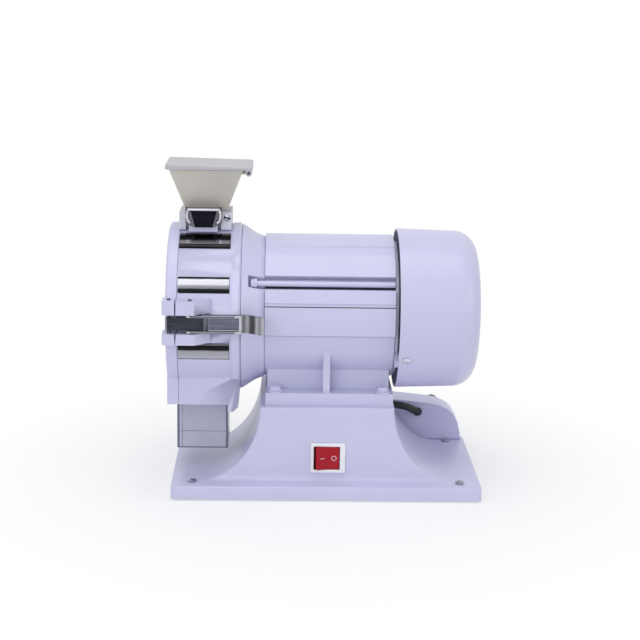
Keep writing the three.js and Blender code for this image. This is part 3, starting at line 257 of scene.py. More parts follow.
def new_piece(name, mesh):
    piece = bpy.data.objects.new(name, mesh)
    bpy.context.scene.collection.objects.link(piece)
    return piece


def reworked(mesh, change):
    """The mesh after change has worked on it as a bmesh."""
    work = bmesh.new()
    work.from_mesh(mesh)
    change(work)
    work.to_mesh(mesh)
    work.free()
    return mesh


def outward(mesh):
    """Merges doubles and turns every face outward."""
    def change(work):
        bmesh.ops.remove_doubles(work, verts=work.verts, dist=doubles / 2)
        bmesh.ops.recalc_face_normals(work, faces=work.faces)

    return reworked(mesh, change)


def meshed(name, points, faces):
    mesh = bpy.data.meshes.new(name)
    mesh.from_pydata([tuple(point) for point in points], [], faces)
    return mesh


def around(count):
    """Each place of a closed ring with the next one."""
    return [(i, (i + 1) % count) for i in range(count)]


def skinned(name, rings):
    """A piece skinned over rings of points with equal counts, capped at both ends."""
    count = len(rings[0])
    last = (len(rings) - 1) * count
    faces = [(r + i, r + j, r + count + j, r + count + i) for r in range(0, last, count) for i, j in around(count)]
    faces += [tuple(reversed(range(count))), tuple(range(last, last + count))]
    return new_piece(name, outward(meshed(name, [point for ring in rings for point in ring], faces)))


def circle(radius, sides):
    return [(radius * math.cos(a), radius * math.sin(a)) for a in (2 * math.pi * i / sides for i in range(sides))]


def quarter_round():
    """Shares of a rounding's radius, inward and down, from its top round to its side."""
    steps = 4
    return [(1 - math.sin(a), 1 - math.cos(a)) for a in (QUARTER * i / steps for i in range(steps + 1))]


def rounded_ring(x, y, half_x, half_y, radius, z, steps=5):
    """A level rounded rectangle with its middle at x and y."""
    points = []
    for k, (sx, sy) in enumerate(((1, 1), (-1, 1), (-1, -1), (1, -1))):
        for i in range(steps + 1):
            a = QUARTER * (k + i / steps)
            points.append((x + sx * (half_x - radius) + radius * math.cos(a),
                           y + sy * (half_y - radius) + radius * math.sin(a), z))
    return points


def spun(name, profile, segments):
    """A mesh of (x, radius) points turned about the shaft axis. The profile runs back to its start."""
    count = len(profile)
    points = [(x, home.y + r * across, shaft_z + r * up) for across, up in circle(1, segments) for x, r in profile]
    faces = [(s * count + i, s * count + j, t * count + j, t * count + i)
             for s, t in around(segments) for i, j in around(count) if profile[i][1] or profile[j][1]]
    return outward(meshed(name, points, faces))


def boxed(name, low, high):
    """A plain block between two corners."""
    rings = [[(low[0], low[1], z), (high[0], low[1], z), (high[0], high[1], z), (low[0], high[1], z)]
             for z in (low[2], high[2])]
    return skinned(name, rings)


bore_sides = 24


def upright_bore(middle, radius, low, high):
    """A round cutter along Z."""
    outline = circle(radius, bore_sides)
    return skinned("bore", [[(middle.x + u, middle.y + v, z) for u, v in outline] for z in (low, high)])


def settle(piece):
    """Turns a piece's modifiers into plain mesh."""
    bpy.context.view_layer.update()
    evaluated = piece.evaluated_get(bpy.context.evaluated_depsgraph_get())
    done = bpy.data.meshes.new_from_object(evaluated)
    piece.modifiers.clear()
    piece.data = done


def carved(piece, tools, operation="DIFFERENCE"):
    """The piece joined with, or cut by, other meshes, which are then removed."""
    for tool in tools:
        step = piece.modifiers.new("shaping", "BOOLEAN")
        step.operation = operation
        step.solver = "EXACT"
        step.object = tool
    settle(piece)
    for tool in tools:
        bpy.data.objects.remove(tool)


def smooth(piece, degrees=sharp):
    """Smooth shading, with edges sharper than that many degrees kept."""
    piece.data.shade_smooth()
    piece.data.set_sharp_from_angle(angle=math.radians(degrees))


def rounded_edges(piece, radius, segments=2):
    bevel = piece.modifiers.new("rounded_edges", "BEVEL")
    bevel.width = radius
    bevel.segments = segments
    bevel.limit_method = "ANGLE"
    bevel.angle_limit = math.radians(sharp)
    bevel.miter_outer = "MITER_ARC"
    settle(piece)
    smooth(piece, sharp_when_rounded)
    piece.modifiers.new("flat_faces_first", "WEIGHTED_NORMAL").keep_sharp = True
    settle(piece)


def shifted(piece, offset):
    piece.data.transform(Matrix.Translation(offset))
    return piece


def about_shaft(piece, angle, x=0.0):
    """Sets a piece made at the origin on the shaft axis, its top turned to angle, from +Y towards +Z."""
    piece.data.transform(Matrix.Rotation(angle - QUARTER, 4, "X"))
    return shifted(piece, on_shaft(x))


def adopt(piece, *names, finish=None):
    """The piece stands for CAD nodes of one body and slot, with their finish or its own."""
    materials = piece.data.materials
    if finish or not len(materials) or materials[0] is None:
        coated(piece, finish or finishes[slot_of[names[0]]])
    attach(piece, body_of[names[0]])
    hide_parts(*names)
    return piece


def added(piece, body, finish):
    """The piece rides on a body beside the pieces that stand for its nodes."""
    piece.data.materials.append(finish)
    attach(piece, body)


def softened(name, radius, segments=2, finish=None, cutters=(), reshape=None):
    """A merged copy of a CAD node, cut further and with its edges rounded by radius, which then stands for it."""
    def merge(work):
        bmesh.ops.remove_doubles(work, verts=work.verts, dist=doubles)
        bmesh.ops.dissolve_limit(work, angle_limit=math.radians(flat), verts=work.verts, edges=work.edges)

    mesh = nodes[name].data.copy()
    mesh.materials.clear()
    reworked(mesh, merge)
    if reshape:
        reshape(mesh)
    piece = new_piece(name + "_dressed", mesh)
    if cutters:
        carved(piece, cutters)
        piece.data.materials.clear()
    rounded_edges(piece, radius, segments)
    return adopt(piece, name, finish=finish)


def striped_by(piece, material, rule):
    """Faces that pass the rule take another material."""
    piece.data.materials.append(material)
    slot = len(piece.data.materials) - 1
    for face in piece.data.polygons:
        if rule(face.center, face.normal):
            face.material_index = slot


def split_at(mesh, cuts):
    """Splits a mesh's faces at levels of (axis, place)."""
    def change(work):
        bmesh.ops.remove_doubles(work, verts=work.verts, dist=doubles)
        for axis, place in cuts:
            every = [*work.verts, *work.edges, *work.faces]
            normal = Vector([float(i == axis) for i in range(3)])
            bmesh.ops.bisect_plane(work, geom=every, plane_co=normal * place, plane_no=normal, dist=0.005 * MM)

    return reworked(mesh, change)


# Base casting: one smooth skin from the top over the concave ends and the flange to the hollow below

flange = in_mm(top=14.5, low=1.5, round=1.6, corner=5, rear=84.5)
waist = in_mm(half_x=63.7, half_y=66, top=87, reach=59, corner=3, wall=5, fillet=5, round=1)
waist_arc = {"start": 3, "sweep": 84, "levels": 26}
ledge = in_mm(left=40, inward=3, inside=9)
lead = in_mm(radius=3.8, wide=4.94, deep=24)
gap = 0.3 * MM
overrun = 3 * MM
switch_rim = 1.2 * MM
switch_lift = Vector((0, 0, 2.9 * MM))
nudge = Vector((2.5, 4.5, 0)) * MM


def screw_nudge(low):
    """The photo has the flange screws a little nearer the corners than the CAD, the rear ones only along X."""
    return Vector((math.copysign(nudge.x, low.x - home.x), -nudge.y if low.y < home.y else 0, 0))


def casting_rings():
    """Outlines from the top down the outside, then up the inside."""
    rings = []

    def ring(hx, hy, z, radius=waist["corner"]):
        rings.append(rounded_ring(home.x, home.y, hx, hy, radius, z))

    half_x, half_y = (base_high.x - base_low.x) / 2, flange["rear"]
    wx, wy = waist["half x"], waist["half y"]
    for inward, down in quarter_round():
        inset = waist["round"] * inward
        ring(wx - inset, wy - inset, waist["top"] - waist["round"] * down)
    tall = waist["top"] - flange["top"]
    for i in range(1, waist_arc["levels"] + 1):
        a = math.radians(waist_arc["start"] + waist_arc["sweep"] * i / waist_arc["levels"])
        z = waist["top"] - tall * math.sin(a)
        foot = min(1, max(0, 1 - (z - flange["top"]) / waist["fillet"]))
        flare = waist["fillet"] * (1 - math.sqrt(1 - foot * foot))
        ring(wx + waist["reach"] * (1 - math.cos(a)), wy + flare, z)
    for inward, down in quarter_round():
        inset = flange["round"] * inward
        ring(half_x - inset, half_y - inset, flange["top"] - flange["round"] * down, flange["corner"] - inset)
    ring(half_x, half_y, flange["low"], flange["corner"])
    plate_low, plate_high = extent("bottom_plate")
    plate = (plate_high - plate_low) / 2 + Vector((gap, gap, 0))
    ceiling = plate_high.z + gap
    inner_x, inner_y, wall = wx + waist["reach"] / 2, plate.y - gap * 2, waist["wall"]
    for reach in ((plate.x, plate.y, flange["low"]), (plate.x, plate.y, ceiling), (inner_x, inner_y, ceiling),
                  (inner_x, inner_y, flange["top"] + wall), (wx, inner_y, flange["top"] + wall * 4),
                  (wx - wall, inner_y, waist["top"] - wall)):
        ring(*reach)
    return rings


def base_casting():
    body = skinned("base_casting_skin", casting_rings())
    rear = boxed("rear_ledge", (home.x + ledge["left"], home.y + flange["rear"] - ledge["inside"], flange["low"]),
                 (base_high.x - ledge["inward"], base_high.y, flange["top"]))
    carved(body, [rear], "UNION")
    low, high = extent("switch_bezel", switch_lift)
    window = boxed("switch_window", low + Vector((1, -1, 1)) * switch_rim, high - Vector((1, 0, 1)) * switch_rim)
    low, high = extent("motor_lead")
    lead_way = skinned("lead_way", [
        [(x, low.y + lead["radius"] + u, high.z - lead["radius"] - v)
         for u, v in circle(lead["wide"], bore_sides)] for x in (low.x, low.x + lead["deep"])])
    holes = [window, lead_way]
    for i in range(1, 5):
        low, high = extent(f"rubber_foot_{i}")
        holes.append(upright_bore((low + high) / 2, (high.x - low.x) / 2 + gap, -overrun, high.z + gap))
        low, high = extent(f"flange_screw_{i}")
        holes.append(upright_bore((low + high) / 2 + screw_nudge(low), screw_sizes["Shank radius"] + gap,
                                  low.z - gap, high.z + overrun))
    carved(body, holes)
    smooth(body)
    adopt(body, "base_casting")


# Rocker switch: white frame with a well painted dark as shade, red rocker and its two plain marks

def switch_frame():
    low, high = extent("switch_bezel", switch_lift)
    middle = (low + high) / 2
    half_x, half_z = (high.x - low.x) / 2, (high.z - low.z) / 2
    wider_right, border, lip, radius, deep, skin = (size * MM for size in (1.1, 3.1, 0.5, 1.2, 2.2, 0.8))

    def ring(y, inset, corner=radius / 2):
        wider = wider_right if inset < border / 2 else 0
        return [(middle.x + x, y, middle.z + z)
                for x, z, _ in rounded_ring(wider, 0, half_x + wider - inset, half_z - inset, corner, 0)]

    def in_well(center, normal):
        return (abs(center.x - middle.x) < half_x - border * 0.9 and abs(center.z - middle.z) < half_z - border * 0.9
                and center.y > low.y + lip * 1.5)

    bezel = skinned("switch_bezel_frame", [
        ring(high.y, border - skin), ring(low.y + deep, border - skin), ring(low.y + deep, 0, radius),
        ring(low.y + lip, 0, radius), ring(low.y, lip, radius - lip / 2), ring(low.y, border - lip, radius - lip / 2),
        ring(low.y + lip, border), ring(high.y - skin, border), ring(high.y - skin, border * 2)])
    bezel.data.materials.append(frame_plastic)
    # The inside of the well takes painted shade.
    striped_by(bezel, painted_well_shade, in_well)
    smooth(bezel)
    adopt(bezel, "switch_bezel")


def rocker():
    piece = shifted(softened("switch_rocker", 0.7 * MM, segments=3), switch_lift)
    low, high = extent("switch_rocker", switch_lift)
    middle = (low + high) / 2
    front = BVHTree.FromPolygons([v.co for v in piece.data.vertices], [p.vertices for p in piece.data.polygons])
    ring_radius, stroke, dash_half, proud, sides = 2.6 * MM, 0.8 * MM, 2.1 * MM, 0.1 * MM, 32
    ring = (circle(ring_radius, sides) + circle(ring_radius - stroke, sides),
            [(i, j, sides + j, sides + i) for i, j in around(sides)])
    dash = [(u * dash_half, v * stroke / 2) for u, v in square], [(0, 1, 2, 3)]
    for name, aside, (outline, faces) in (("rocker_off_ring", 6.4 * MM, ring), ("rocker_on_dash", -4.6 * MM, dash)):
        before = Vector((middle.x + aside, low.y - 10 * MM, middle.z))
        place, normal, _, _ = front.ray_cast(before, Vector((0, 1, 0)))
        along = Vector((-normal.y, normal.x, 0))
        mark = new_piece(name, meshed(name, [place + along * u + Vector((0, 0, v)) + normal * proud
                                             for u, v in outline], faces))
        thick = mark.modifiers.new("printed_height", "SOLIDIFY")
        thick.thickness = proud * 2
        thick.offset = 0
        settle(mark)
        outward(mark.data)
        added(mark, "rocker", mark_white)


# Repeated parts by geometry nodes

class Rule(Wiring):
    """A geometry tree with named inputs."""

    def __init__(self, name, sizes, takes_mesh=False):
        super().__init__(bpy.data.node_groups.new(name, "GeometryNodeTree"))
        new_socket = self.tree.interface.new_socket
        for way in ("OUTPUT", "INPUT") if takes_mesh else ("OUTPUT",):
            new_socket("Geometry", in_out=way, socket_type="NodeSocketGeometry")
        for label, value in sizes.items():
            kind = "NodeSocketInt" if isinstance(value, int) else "NodeSocketFloat"
            new_socket(label, in_out="INPUT", socket_type=kind).default_value = value
        self.inputs, self.output = self.node("NodeGroupInput"), self.node("NodeGroupOutput")

    def size(self, label):
        return self.inputs.outputs[label]

    def times(self, a, b):
        return self.calc("MULTIPLY", a, b)

    def vector(self, x=None, y=None, z=None):
        return self.first("ShaderNodeCombineXYZ", X=x, Y=y, Z=z)

    def moved(self, geometry, **values):
        return self.first("GeometryNodeTransform", Geometry=geometry, **values)

    def cylinder(self, sides, radius, depth, place=None, turn=None):
        made = self.first("GeometryNodeMeshCylinder", Vertices=sides, Radius=radius, Depth=depth)
        if turn is not None:
            made = self.moved(made, Rotation=turn)
        return self.moved(made, Translation=place) if place is not None else made

    def shank(self, sides):
        """A bolt's or screw's shank, from just inside its head down."""
        long = self.size("Shank length")
        return self.cylinder(sides, self.size("Shank radius"), long, self.vector(z=self.times(long, -0.49)))

    def block(self, size, place):
        return self.moved(self.first("GeometryNodeMeshCube", Size=size), Translation=place)

    def boolean(self, operation, first, others):
        made = self.node("GeometryNodeMeshBoolean", {"operation": operation, "solver": "EXACT"})
        self.link(first, made.inputs["Mesh 1" if operation == "DIFFERENCE" else "Mesh 2"])
        for other in others:
            self.link(other, made.inputs["Mesh 2"])
        return made.outputs["Mesh"]

    def realized(self, geometry):
        return self.first("GeometryNodeRealizeInstances", Geometry=geometry)

    def spread(self, points, instance, turn):
        return self.first("GeometryNodeInstanceOnPoints", Points=points, Instance=instance, Rotation=turn)

    def ringed(self, count, instance, axis):
        """The instance repeated count times round one axis."""
        line = self.first("GeometryNodeMeshLine", Count=count, Offset=(0, 0, 0))
        index = self.first("GeometryNodeInputIndex")
        share = self.calc("DIVIDE", self.times(index, 2 * math.pi), count)
        return self.realized(self.spread(line, instance, self.vector(**{axis: share})))

    def finish(self, geometry, material):
        done = self.first("GeometryNodeSetMaterial", Geometry=self.realized(geometry), Material=material)
        self.link(done, self.output.inputs[0])
        return self.tree


def grown(name, tree, sizes, mesh=None, radius=0.0):
    """The plain mesh that a tree makes with these sizes."""
    piece = new_piece(name, mesh or bpy.data.meshes.new(name))
    step = piece.modifiers.new("rule", "NODES")
    step.node_group = tree
    for label, value in sizes.items():
        step[tree.interface.items_tree[label].identifier] = value
    settle(piece)
    outward(piece.data)
    if radius:
        rounded_edges(piece, radius)
    smooth(piece)
    return piece


screw_sizes = {"Turn seed": 3, **in_mm(Head_radius=4.2, Head_height=2, Shank_radius=2, Shank_length=6, Slot_width=1,
                                       Slot_depth=0.8)}


def screw_tree(material):
    """A slotted pan-head screw on each vertex of the mesh it is given, each turned its own way."""
    w = Rule("slotted_screws", screw_sizes, True)
    head, tall = w.size("Head radius"), w.size("Head height")
    low = w.cylinder(28, head, w.times(tall, 0.5), w.vector(z=w.times(tall, 0.25)))
    cone = w.first("GeometryNodeMeshCone", Vertices=28, Radius_Top=w.times(head, 0.55), Radius_Bottom=head,
                   Depth=w.times(tall, 0.5))
    cone = w.moved(cone, Translation=w.vector(z=w.times(tall, 0.5)))
    screw = w.boolean("UNION", low, [cone, w.shank(14)])
    slot = w.block(w.vector(w.times(head, 3), w.size("Slot width"), w.times(w.size("Slot depth"), 2)),
                   w.vector(z=tall))
    screw = w.boolean("DIFFERENCE", screw, [slot])
    turn = w.node("FunctionNodeRandomValue", {"data_type": "FLOAT"}, Seed=w.size("Turn seed"))
    most = [socket for socket in turn.inputs if socket.name == "Max" and socket.type == "VALUE"][0]
    most.default_value = math.pi
    value = [socket for socket in turn.outputs if socket.type == "VALUE"][0]
    return w.finish(w.spread(w.size("Geometry"), screw, w.vector(z=value)), material)


bolt_sizes = in_mm(Washer_radius=8, Washer_thickness=1.2, Head_radius=5.6, Head_height=4, Shank_radius=3.2,
                   Shank_length=17)


def bolt_tree(material):
    """A hexagon bolt with a washer on each vertex of the mesh it is given."""
    w = Rule("hexagon_bolts", bolt_sizes, True)
    thick, tall = w.size("Washer thickness"), w.size("Head height")
    washer = w.cylinder(40, w.size("Washer radius"), thick, w.vector(z=w.times(thick, 0.5)))
    head = w.cylinder(6, w.size("Head radius"), tall, w.vector(z=w.calc("ADD", thick, w.times(tall, 0.49))))
    bolt = w.boolean("UNION", washer, [head, w.shank(16)])
    return w.finish(w.spread(w.size("Geometry"), bolt, (0, 0, QUARTER / 3)), material)


blade_sizes = {"Count": 8, **in_mm(Hub_radius=14, Hub_bore=10.3, Disc_radius=58, Disc_thickness=3, Disc_place=1.5,
                                   Width=26, Blade_inner=12, Blade_outer=58, Blade_thickness=2.4)}


def blade_tree(material):
    """A bored hub and disc with straight blades round it, along +X from zero."""
    w = Rule("bladed_wheel", blade_sizes)
    wide, inner, outer = (w.size(label) for label in ("Width", "Blade inner", "Blade outer"))
    across = (0, QUARTER, 0)
    hub = w.cylinder(40, w.size("Hub radius"), wide, w.vector(w.times(wide, 0.5)), across)
    disc = w.cylinder(72, w.size("Disc radius"), w.size("Disc thickness"), w.vector(w.size("Disc place")), across)
    blade = w.block(w.vector(wide, w.calc("SUBTRACT", outer, inner), w.size("Blade thickness")),
                    w.vector(w.times(wide, 0.5), w.times(w.calc("ADD", outer, inner), 0.5)))
    wheel = w.boolean("UNION", hub, [disc, w.ringed(w.size("Count"), blade, "x")])
    bore = w.cylinder(40, w.size("Hub bore"), w.times(wide, 3), None, across)
    return w.finish(w.boolean("DIFFERENCE", wheel, [bore]), material)


vent_sizes = {"Slot share": 0.76, "Slots in a ring": 4,
              **in_mm(Inner_radius=12, Ring_pitch=13, Slot_width=4, Depth=12, Place=0)}


def vent_tree(material, rings=3, first_angle=0.19):
    """The mesh it is given with rings of curved air slots cut through it, along X at Place."""
    w = Rule("air_slots", vent_sizes, True)
    count, wide = w.size("Slots in a ring"), w.size("Slot width")
    joined = w.node("GeometryNodeJoinGeometry")
    sweep = w.calc("DIVIDE", w.times(w.size("Slot share"), 2 * math.pi), count)
    for k in range(rings):
        inner = w.calc("ADD", w.size("Inner radius"), w.times(w.size("Ring pitch"), float(k)))
        arc = w.first("GeometryNodeCurveArc", Resolution=14, Radius=w.calc("ADD", inner, w.times(wide, 0.5)),
                      Start_Angle=QUARTER / 2 * (k % 2) + first_angle, Sweep_Angle=sweep)
        bar = w.first("GeometryNodeCurvePrimitiveQuadrilateral", Width=wide, Height=w.size("Depth"))
        slot = w.first("GeometryNodeCurveToMesh", Curve=arc, Profile_Curve=bar, Fill_Caps=True)
        w.link(w.ringed(count, slot, "z"), joined.inputs[0])
    upright = w.moved(joined.outputs[0], Rotation=(0, QUARTER, 0), Translation=on_shaft())
    placed = w.moved(upright, Translation=w.vector(w.size("Place")))
    return w.finish(w.boolean("DIFFERENCE", w.size("Geometry"), [placed]), material)


# Pieces

def seats(stood_for, head_up):
    """A mesh of points: the middle of each node, at the level of its seat, head_up below its top."""
    places = []
    for node in stood_for:
        low, high = extent(node)
        middle = (low + high) / 2 + (screw_nudge(low) if node.startswith("flange") else Vector())
        places.append((middle.x, middle.y, high.z - head_up))
    return meshed("seats", places, [])


def lone_screw(name, finish, radius, head_radius, **sizes):
    """One slotted screw at the origin. Its other sizes are in millimetres."""
    return grown(name + "_slotted", screw_tree(finish), {**screw_sizes, "Head radius": head_radius, **in_mm(**sizes)},
                 meshed("seat", [(0, 0, 0)], []), radius=radius)


cover_rim = 77.3 * MM
screw_drop = math.radians(27.5)


def fasteners():
    names = [f"flange_screw_{i}" for i in range(1, 5)]
    sunk_head = 0.76
    adopt(grown("flange_screws", screw_tree(screw_steel), screw_sizes,
                seats(names, screw_sizes["Head height"] * sunk_head), radius=0.3 * MM), *names)
    names = [f"foot_bolt_{i}" for i in range(1, 5)]
    head_up = bolt_sizes["Washer thickness"] + bolt_sizes["Head height"]
    adopt(grown("foot_bolts", bolt_tree(paint), bolt_sizes, seats(names, head_up), radius=0.35 * MM), *names,
          finish=paint)
    wider, slot_depth, photo_shift = 1.15, 0.9 * MM, Vector((-3.8, 1.2, 2)) * MM
    low, high = extent("hopper_screw")
    piece = lone_screw("hopper_screw", steel, 0.15 * MM, (high.x - low.x) / 2 * wider,
                       Head_height=1.2, Shank_radius=1.3, Shank_length=3.6, Slot_width=1.3)
    seat = Vector(((low.x + high.x) / 2, low.y, (low.z + high.z) / 2)) + photo_shift
    piece.data.transform(Matrix.Translation(seat) @ Matrix.Rotation(QUARTER, 4, "X"))
    adopt(piece, "hopper_screw", finish=steel)
    # The bottom of the slot takes painted shade.
    striped_by(piece, black_steel, lambda center, normal: normal.y < -0.9 and center.y > seat.y - slot_depth)
    for name in ("cover_screw_front", "cover_screw_rear"):
        low, high = extent(name)
        drop = math.pi + screw_drop if (low.y + high.y) / 2 < home.y else -screw_drop
        piece = lone_screw(name, screw_steel, 0.2 * MM, (high.x - low.x) / 2,
                           Head_height=1.6, Shank_radius=1.2, Shank_length=4.4, Slot_width=0.8)
        shifted(piece, (0, 0, cover_rim + gap))
        adopt(about_shaft(piece, drop, (low.x + high.x) / 2), name, finish=screw_steel)


def fan_cover():
    """The turned cover with a rounded end, a slight dome and rings of air slots."""
    low, high = extent("fan_cover")
    taper, corner, dome, wall, shorter = (size * MM for size in (1.6, 22, 2.5, 1.6, 2.2))
    end = high.x - dome - shorter
    inner = cover_rim - taper - corner
    steps = 14

    def line(inset):
        points = [(low.x, cover_rim - inset)]
        for i in range(steps + 1):
            a = QUARTER * i / steps
            points.append((end - corner + (corner - inset) * math.sin(a), inner + (corner - inset) * math.cos(a)))
        return points + [(end + dome * rise - inset, inner * out) for rise, out in ((0.5, 0.66), (0.85, 0.33), (1, 0))]

    skin = spun("fan_cover_skin", line(0) + line(wall)[::-1], 96)
    adopt(grown("fan_cover_slotted", vent_tree(paint), dict(vent_sizes, Place=end), mesh=skin), "fan_cover")


def wheels():
    """The fan and the rotor with its beaters."""
    low, high = extent("fan")
    wheel = grown("fan_wheel", blade_tree(black_plastic), dict(blade_sizes, Width=high.x - low.x), radius=0.4 * MM)
    adopt(shifted(wheel, on_shaft(low.x)), "fan")
    low, high = extent("beater_rotor")
    sizes = {"Count": 6, "Width": high.x - low.x, "Disc place": (high.x - low.x) / 2,
             "Blade outer": min(58.9 * MM, (high.y - low.y) / 2),
             **in_mm(Hub_radius=17, Hub_bore=7.3, Disc_radius=52, Disc_thickness=4, Blade_inner=15, Blade_thickness=5)}
    wheel = grown("beater_wheel", blade_tree(steel), sizes, radius=0.3 * MM)
    adopt(shifted(wheel, on_shaft(low.x)), "beater_rotor")


def sample_box():
    """The grey box, darker where its walls and floor are seen edge on."""
    low, high = extent("sample_box")
    side, floor_edge, lip, line_wide = 2.2 * MM, 1.3 * MM, 1.0 * MM, 0.5 * MM
    line_x, inner_floor = low.x + 4.6 * MM, low.z + 16.8 * MM
    piece = new_piece("sample_box_dressed", split_at(nodes["sample_box"].data.copy(), [
        (0, low.x + side), (0, high.x - side), (2, low.z + floor_edge), (2, high.z - lip), (0, line_x),
        (0, line_x + line_wide), (2, inner_floor), (2, inner_floor + line_wide)]))
    coated(piece, smoky_clear)

    def edge_on(center, normal):
        if normal.y > -0.9:
            return abs(normal.z) < 0.5 and normal.y < 0.5
        sides = center.x < low.x + side or center.x > high.x - side
        seam = line_x < center.x < line_x + line_wide or inner_floor < center.z < inner_floor + line_wide
        return sides or seam or center.z < low.z + floor_edge or center.z > high.z - lip

    striped_by(piece, smoky_edge, edge_on)
    piece.data.shade_flat()
    adopt(piece, "sample_box")


def tube(name, points, radius, sides):
    """A round bar through points."""
    points = [Vector(point) for point in points]
    rings = []
    for i, point in enumerate(points):
        ahead = (points[min(i + 1, len(points) - 1)] - points[max(i - 1, 0)]).normalized()
        first = ahead.orthogonal().normalized()
        if rings:
            before = rings[-1][0] - points[i - 1]
            first = (before - ahead * before.dot(ahead)).normalized()
        second = ahead.cross(first)
        rings.append([point + first * u + second * v for u, v in circle(radius, sides)])
    return skinned(name, rings)


clip_shift = Vector((-2.3, 0, 2)) * MM
clip = in_mm(roll=2.1, ribbon=1.2, bend=3.4, side=1.3, top=1.4, foot=4.1, front=1.4, shoulder=4.6)
ribbon_arc = {"start": 0.04, "sweep": 0.92, "steps": 12}


def hopper_clip():
    """Spring clip: rolled top, ribbon cheeks that curl forward and a dark pressed tongue."""
    low, high = extent("hopper_clip")
    middle_x = (low.x + high.x) / 2
    front, shoulder = low.y + clip["front"], high.z - clip["shoulder"]
    ribbon_top, ribbon_tall = high.z - clip["top"], high.z - low.z - clip["top"] - clip["foot"]
    plate = shifted(softened("hopper_clip", 0.4 * MM, finish=chrome), clip_shift)
    striped_by(plate, black_steel, lambda center, normal: center.y < front - 0.1 * MM)
    striped_by(plate, shadow_steel, lambda center, normal: normal.y < -0.9 and abs(center.y - front) < 0.2 * MM
               and center.z < shoulder)
    reach = clip["roll"]
    roll_z = high.z - reach + clip_shift.z
    # The rolled top's bands of grey are a painted reflection and highlight.
    reflection_bands = painted_reflection_finish("rolled_top_painted_reflection", (0, 0, 1), roll_z - reach, roll_z + reach,
                   [(0, 0.04), (0.25, 0.2), (0.4, 0.62), (0.68, 0.5), (0.84, 0.08), (1, 0.3)], 0.2)
    bars = [(tube("clip_rolled_top", [(x, low.y + reach, high.z - reach)
                                      for x in (low.x + 2 * MM, middle_x, high.x - 2 * MM)], reach, 24), reflection_bands)]
    for side, word in ((-1, "left"), (1, "right")):
        edge = middle_x + side * ((high.x - low.x) / 2 - clip["side"])
        points = []
        for i in range(ribbon_arc["steps"] + 1):
            a = math.pi * (ribbon_arc["start"] + ribbon_arc["sweep"] * i / ribbon_arc["steps"])
            points.append((edge - side * clip["bend"] * (1 - math.sin(a)), front,
                           ribbon_top - ribbon_tall * (1 - math.cos(a)) / 2))
        bars.append((tube("clip_ribbon_" + word, points, clip["ribbon"], 12), bright_steel))
    for piece, finish in bars:
        smooth(shifted(piece, clip_shift), 40)
        added(piece, body_of["hopper_clip"], finish)


drum_radius = 81 * MM
strip_in = in_mm(sunk=0.5, deep=3.2, longer=1.5)
# Each strip's angle above the shaft in degrees, half its height in mm, and the bands of its painted reflection and
# shade as (place, grey)
strips = {"chamber_strip_1": (62, 11, [(0, 0.02), (0.12, 0.3), (0.2, 0.012), (0.5, 0.02), (0.56, 0.36), (0.75, 0.46),
                                       (0.8, 0.02), (0.9, 0.12), (1, 0.01)]),
          "chamber_strip_2": (26, 7.6, [(0, 0.012), (0.14, 0.02), (0.2, 0.8), (0.5, 0.7), (0.6, 0.3), (0.74, 0.22),
                                        (0.8, 0.02), (1, 0.012)]),
          "chamber_strip_3": (-20, 8.6, [(0, 0.02), (0.08, 0.2), (0.14, 0.012), (0.42, 0.02), (0.5, 0.34),
                                         (0.95, 0.44), (1, 0.05)])}


def chamber_strips():
    """The polished strips on the front of the drum, and the cutters of their pockets."""
    pockets = []
    inside, outside = drum_radius - strip_in["deep"], drum_radius - strip_in["sunk"]
    for name, (angle, half, stops) in strips.items():
        half *= MM
        low, high = extent(name)
        turn = math.pi - math.radians(angle)
        left = low.x - strip_in["longer"]
        strip = about_shaft(boxed(name + "_polished", (left, -half, inside), (high.x, half, outside)), turn)
        rounded_edges(strip, 0.5 * MM, 3)
        radial = Vector((0, math.cos(turn), math.sin(turn)))
        down = Vector((0, -radial.z, radial.y))
        centre = down.dot(on_shaft() + radial * drum_radius)
        # The strip's bands of grey are a painted reflection, with painted shade in its dark bands.
        adopt(strip, name, finish=painted_reflection_finish(name + "_painted_reflection", tuple(down), centre - half, centre + half, stops, 0.16))
        pockets.append(about_shaft(boxed("pocket", (left - gap, -half - gap, inside - gap),
                                         (high.x + gap, half + gap, drum_radius * 1.1)), turn))
    return pockets


rod_angle, line_angle = math.radians(30.5), math.radians(11.85)


def grooves(name, left, right, rows):
    """Cutters along the motor, behind it and then in front, from rows of (angle, half width, bottom, top in mm)."""
    cutters = []
    for in_front in (False, True):
        for angle, half, bottom, top in rows:
            cutter = boxed(name, (left, -half * MM, bottom * MM), (right, half * MM, top * MM))
            cutters.append(about_shaft(cutter, math.pi - angle if in_front else angle))
    return cutters


def motor_grooves():
    """Cutters of the dark lines along the motor: beside each tie rod, and the fine grooves."""
    low, high = extent("motor_frame")
    return grooves("groove", low.x - overrun, high.x + overrun, [
        (rod_angle, 3.7, 62.4, 75), (line_angle, 0.45, 69.2, 75), (-line_angle * 0.9, 0.3, 69.8, 75)])


def rod_pockets():
    """Cutters of the angular pockets in the adapter round the ends of the tie rods."""
    low, high = extent("adapter_bell")
    return grooves("rod_pocket", low.x + 6.5 * MM, high.x + overrun, [(rod_angle, 5.8, 66.8, 90)])


def shifted_rib(mesh):
    """The photo has the ribs of the motor a little further left than the CAD."""
    rib_x, rib_half, shift = home.x + 3.3 * MM, 3.4 * MM, -4.5 * MM
    for vertex in mesh.vertices:
        if abs(vertex.co.x - rib_x) < rib_half:
            vertex.co.x += shift


def darken_grooves(piece):
    """The deep faces of the channels and fine grooves of the motor are in shadow."""
    low, high = extent("motor_frame")

    def deep(center, normal):
        y, z = center.y - home.y, center.z - shaft_z
        radius, angle = math.hypot(y, z) / MM, math.degrees(math.atan2(z, abs(y)))
        channel = 61.5 < radius < 66.6 and 26.5 < angle < 34.5
        fine = 68.5 < radius < 70.9 and 10.5 < angle < 13 and low.x < center.x < high.x
        return (channel or fine) and abs(normal.x) < 0.5

    striped_by(piece, groove_dark, deep)


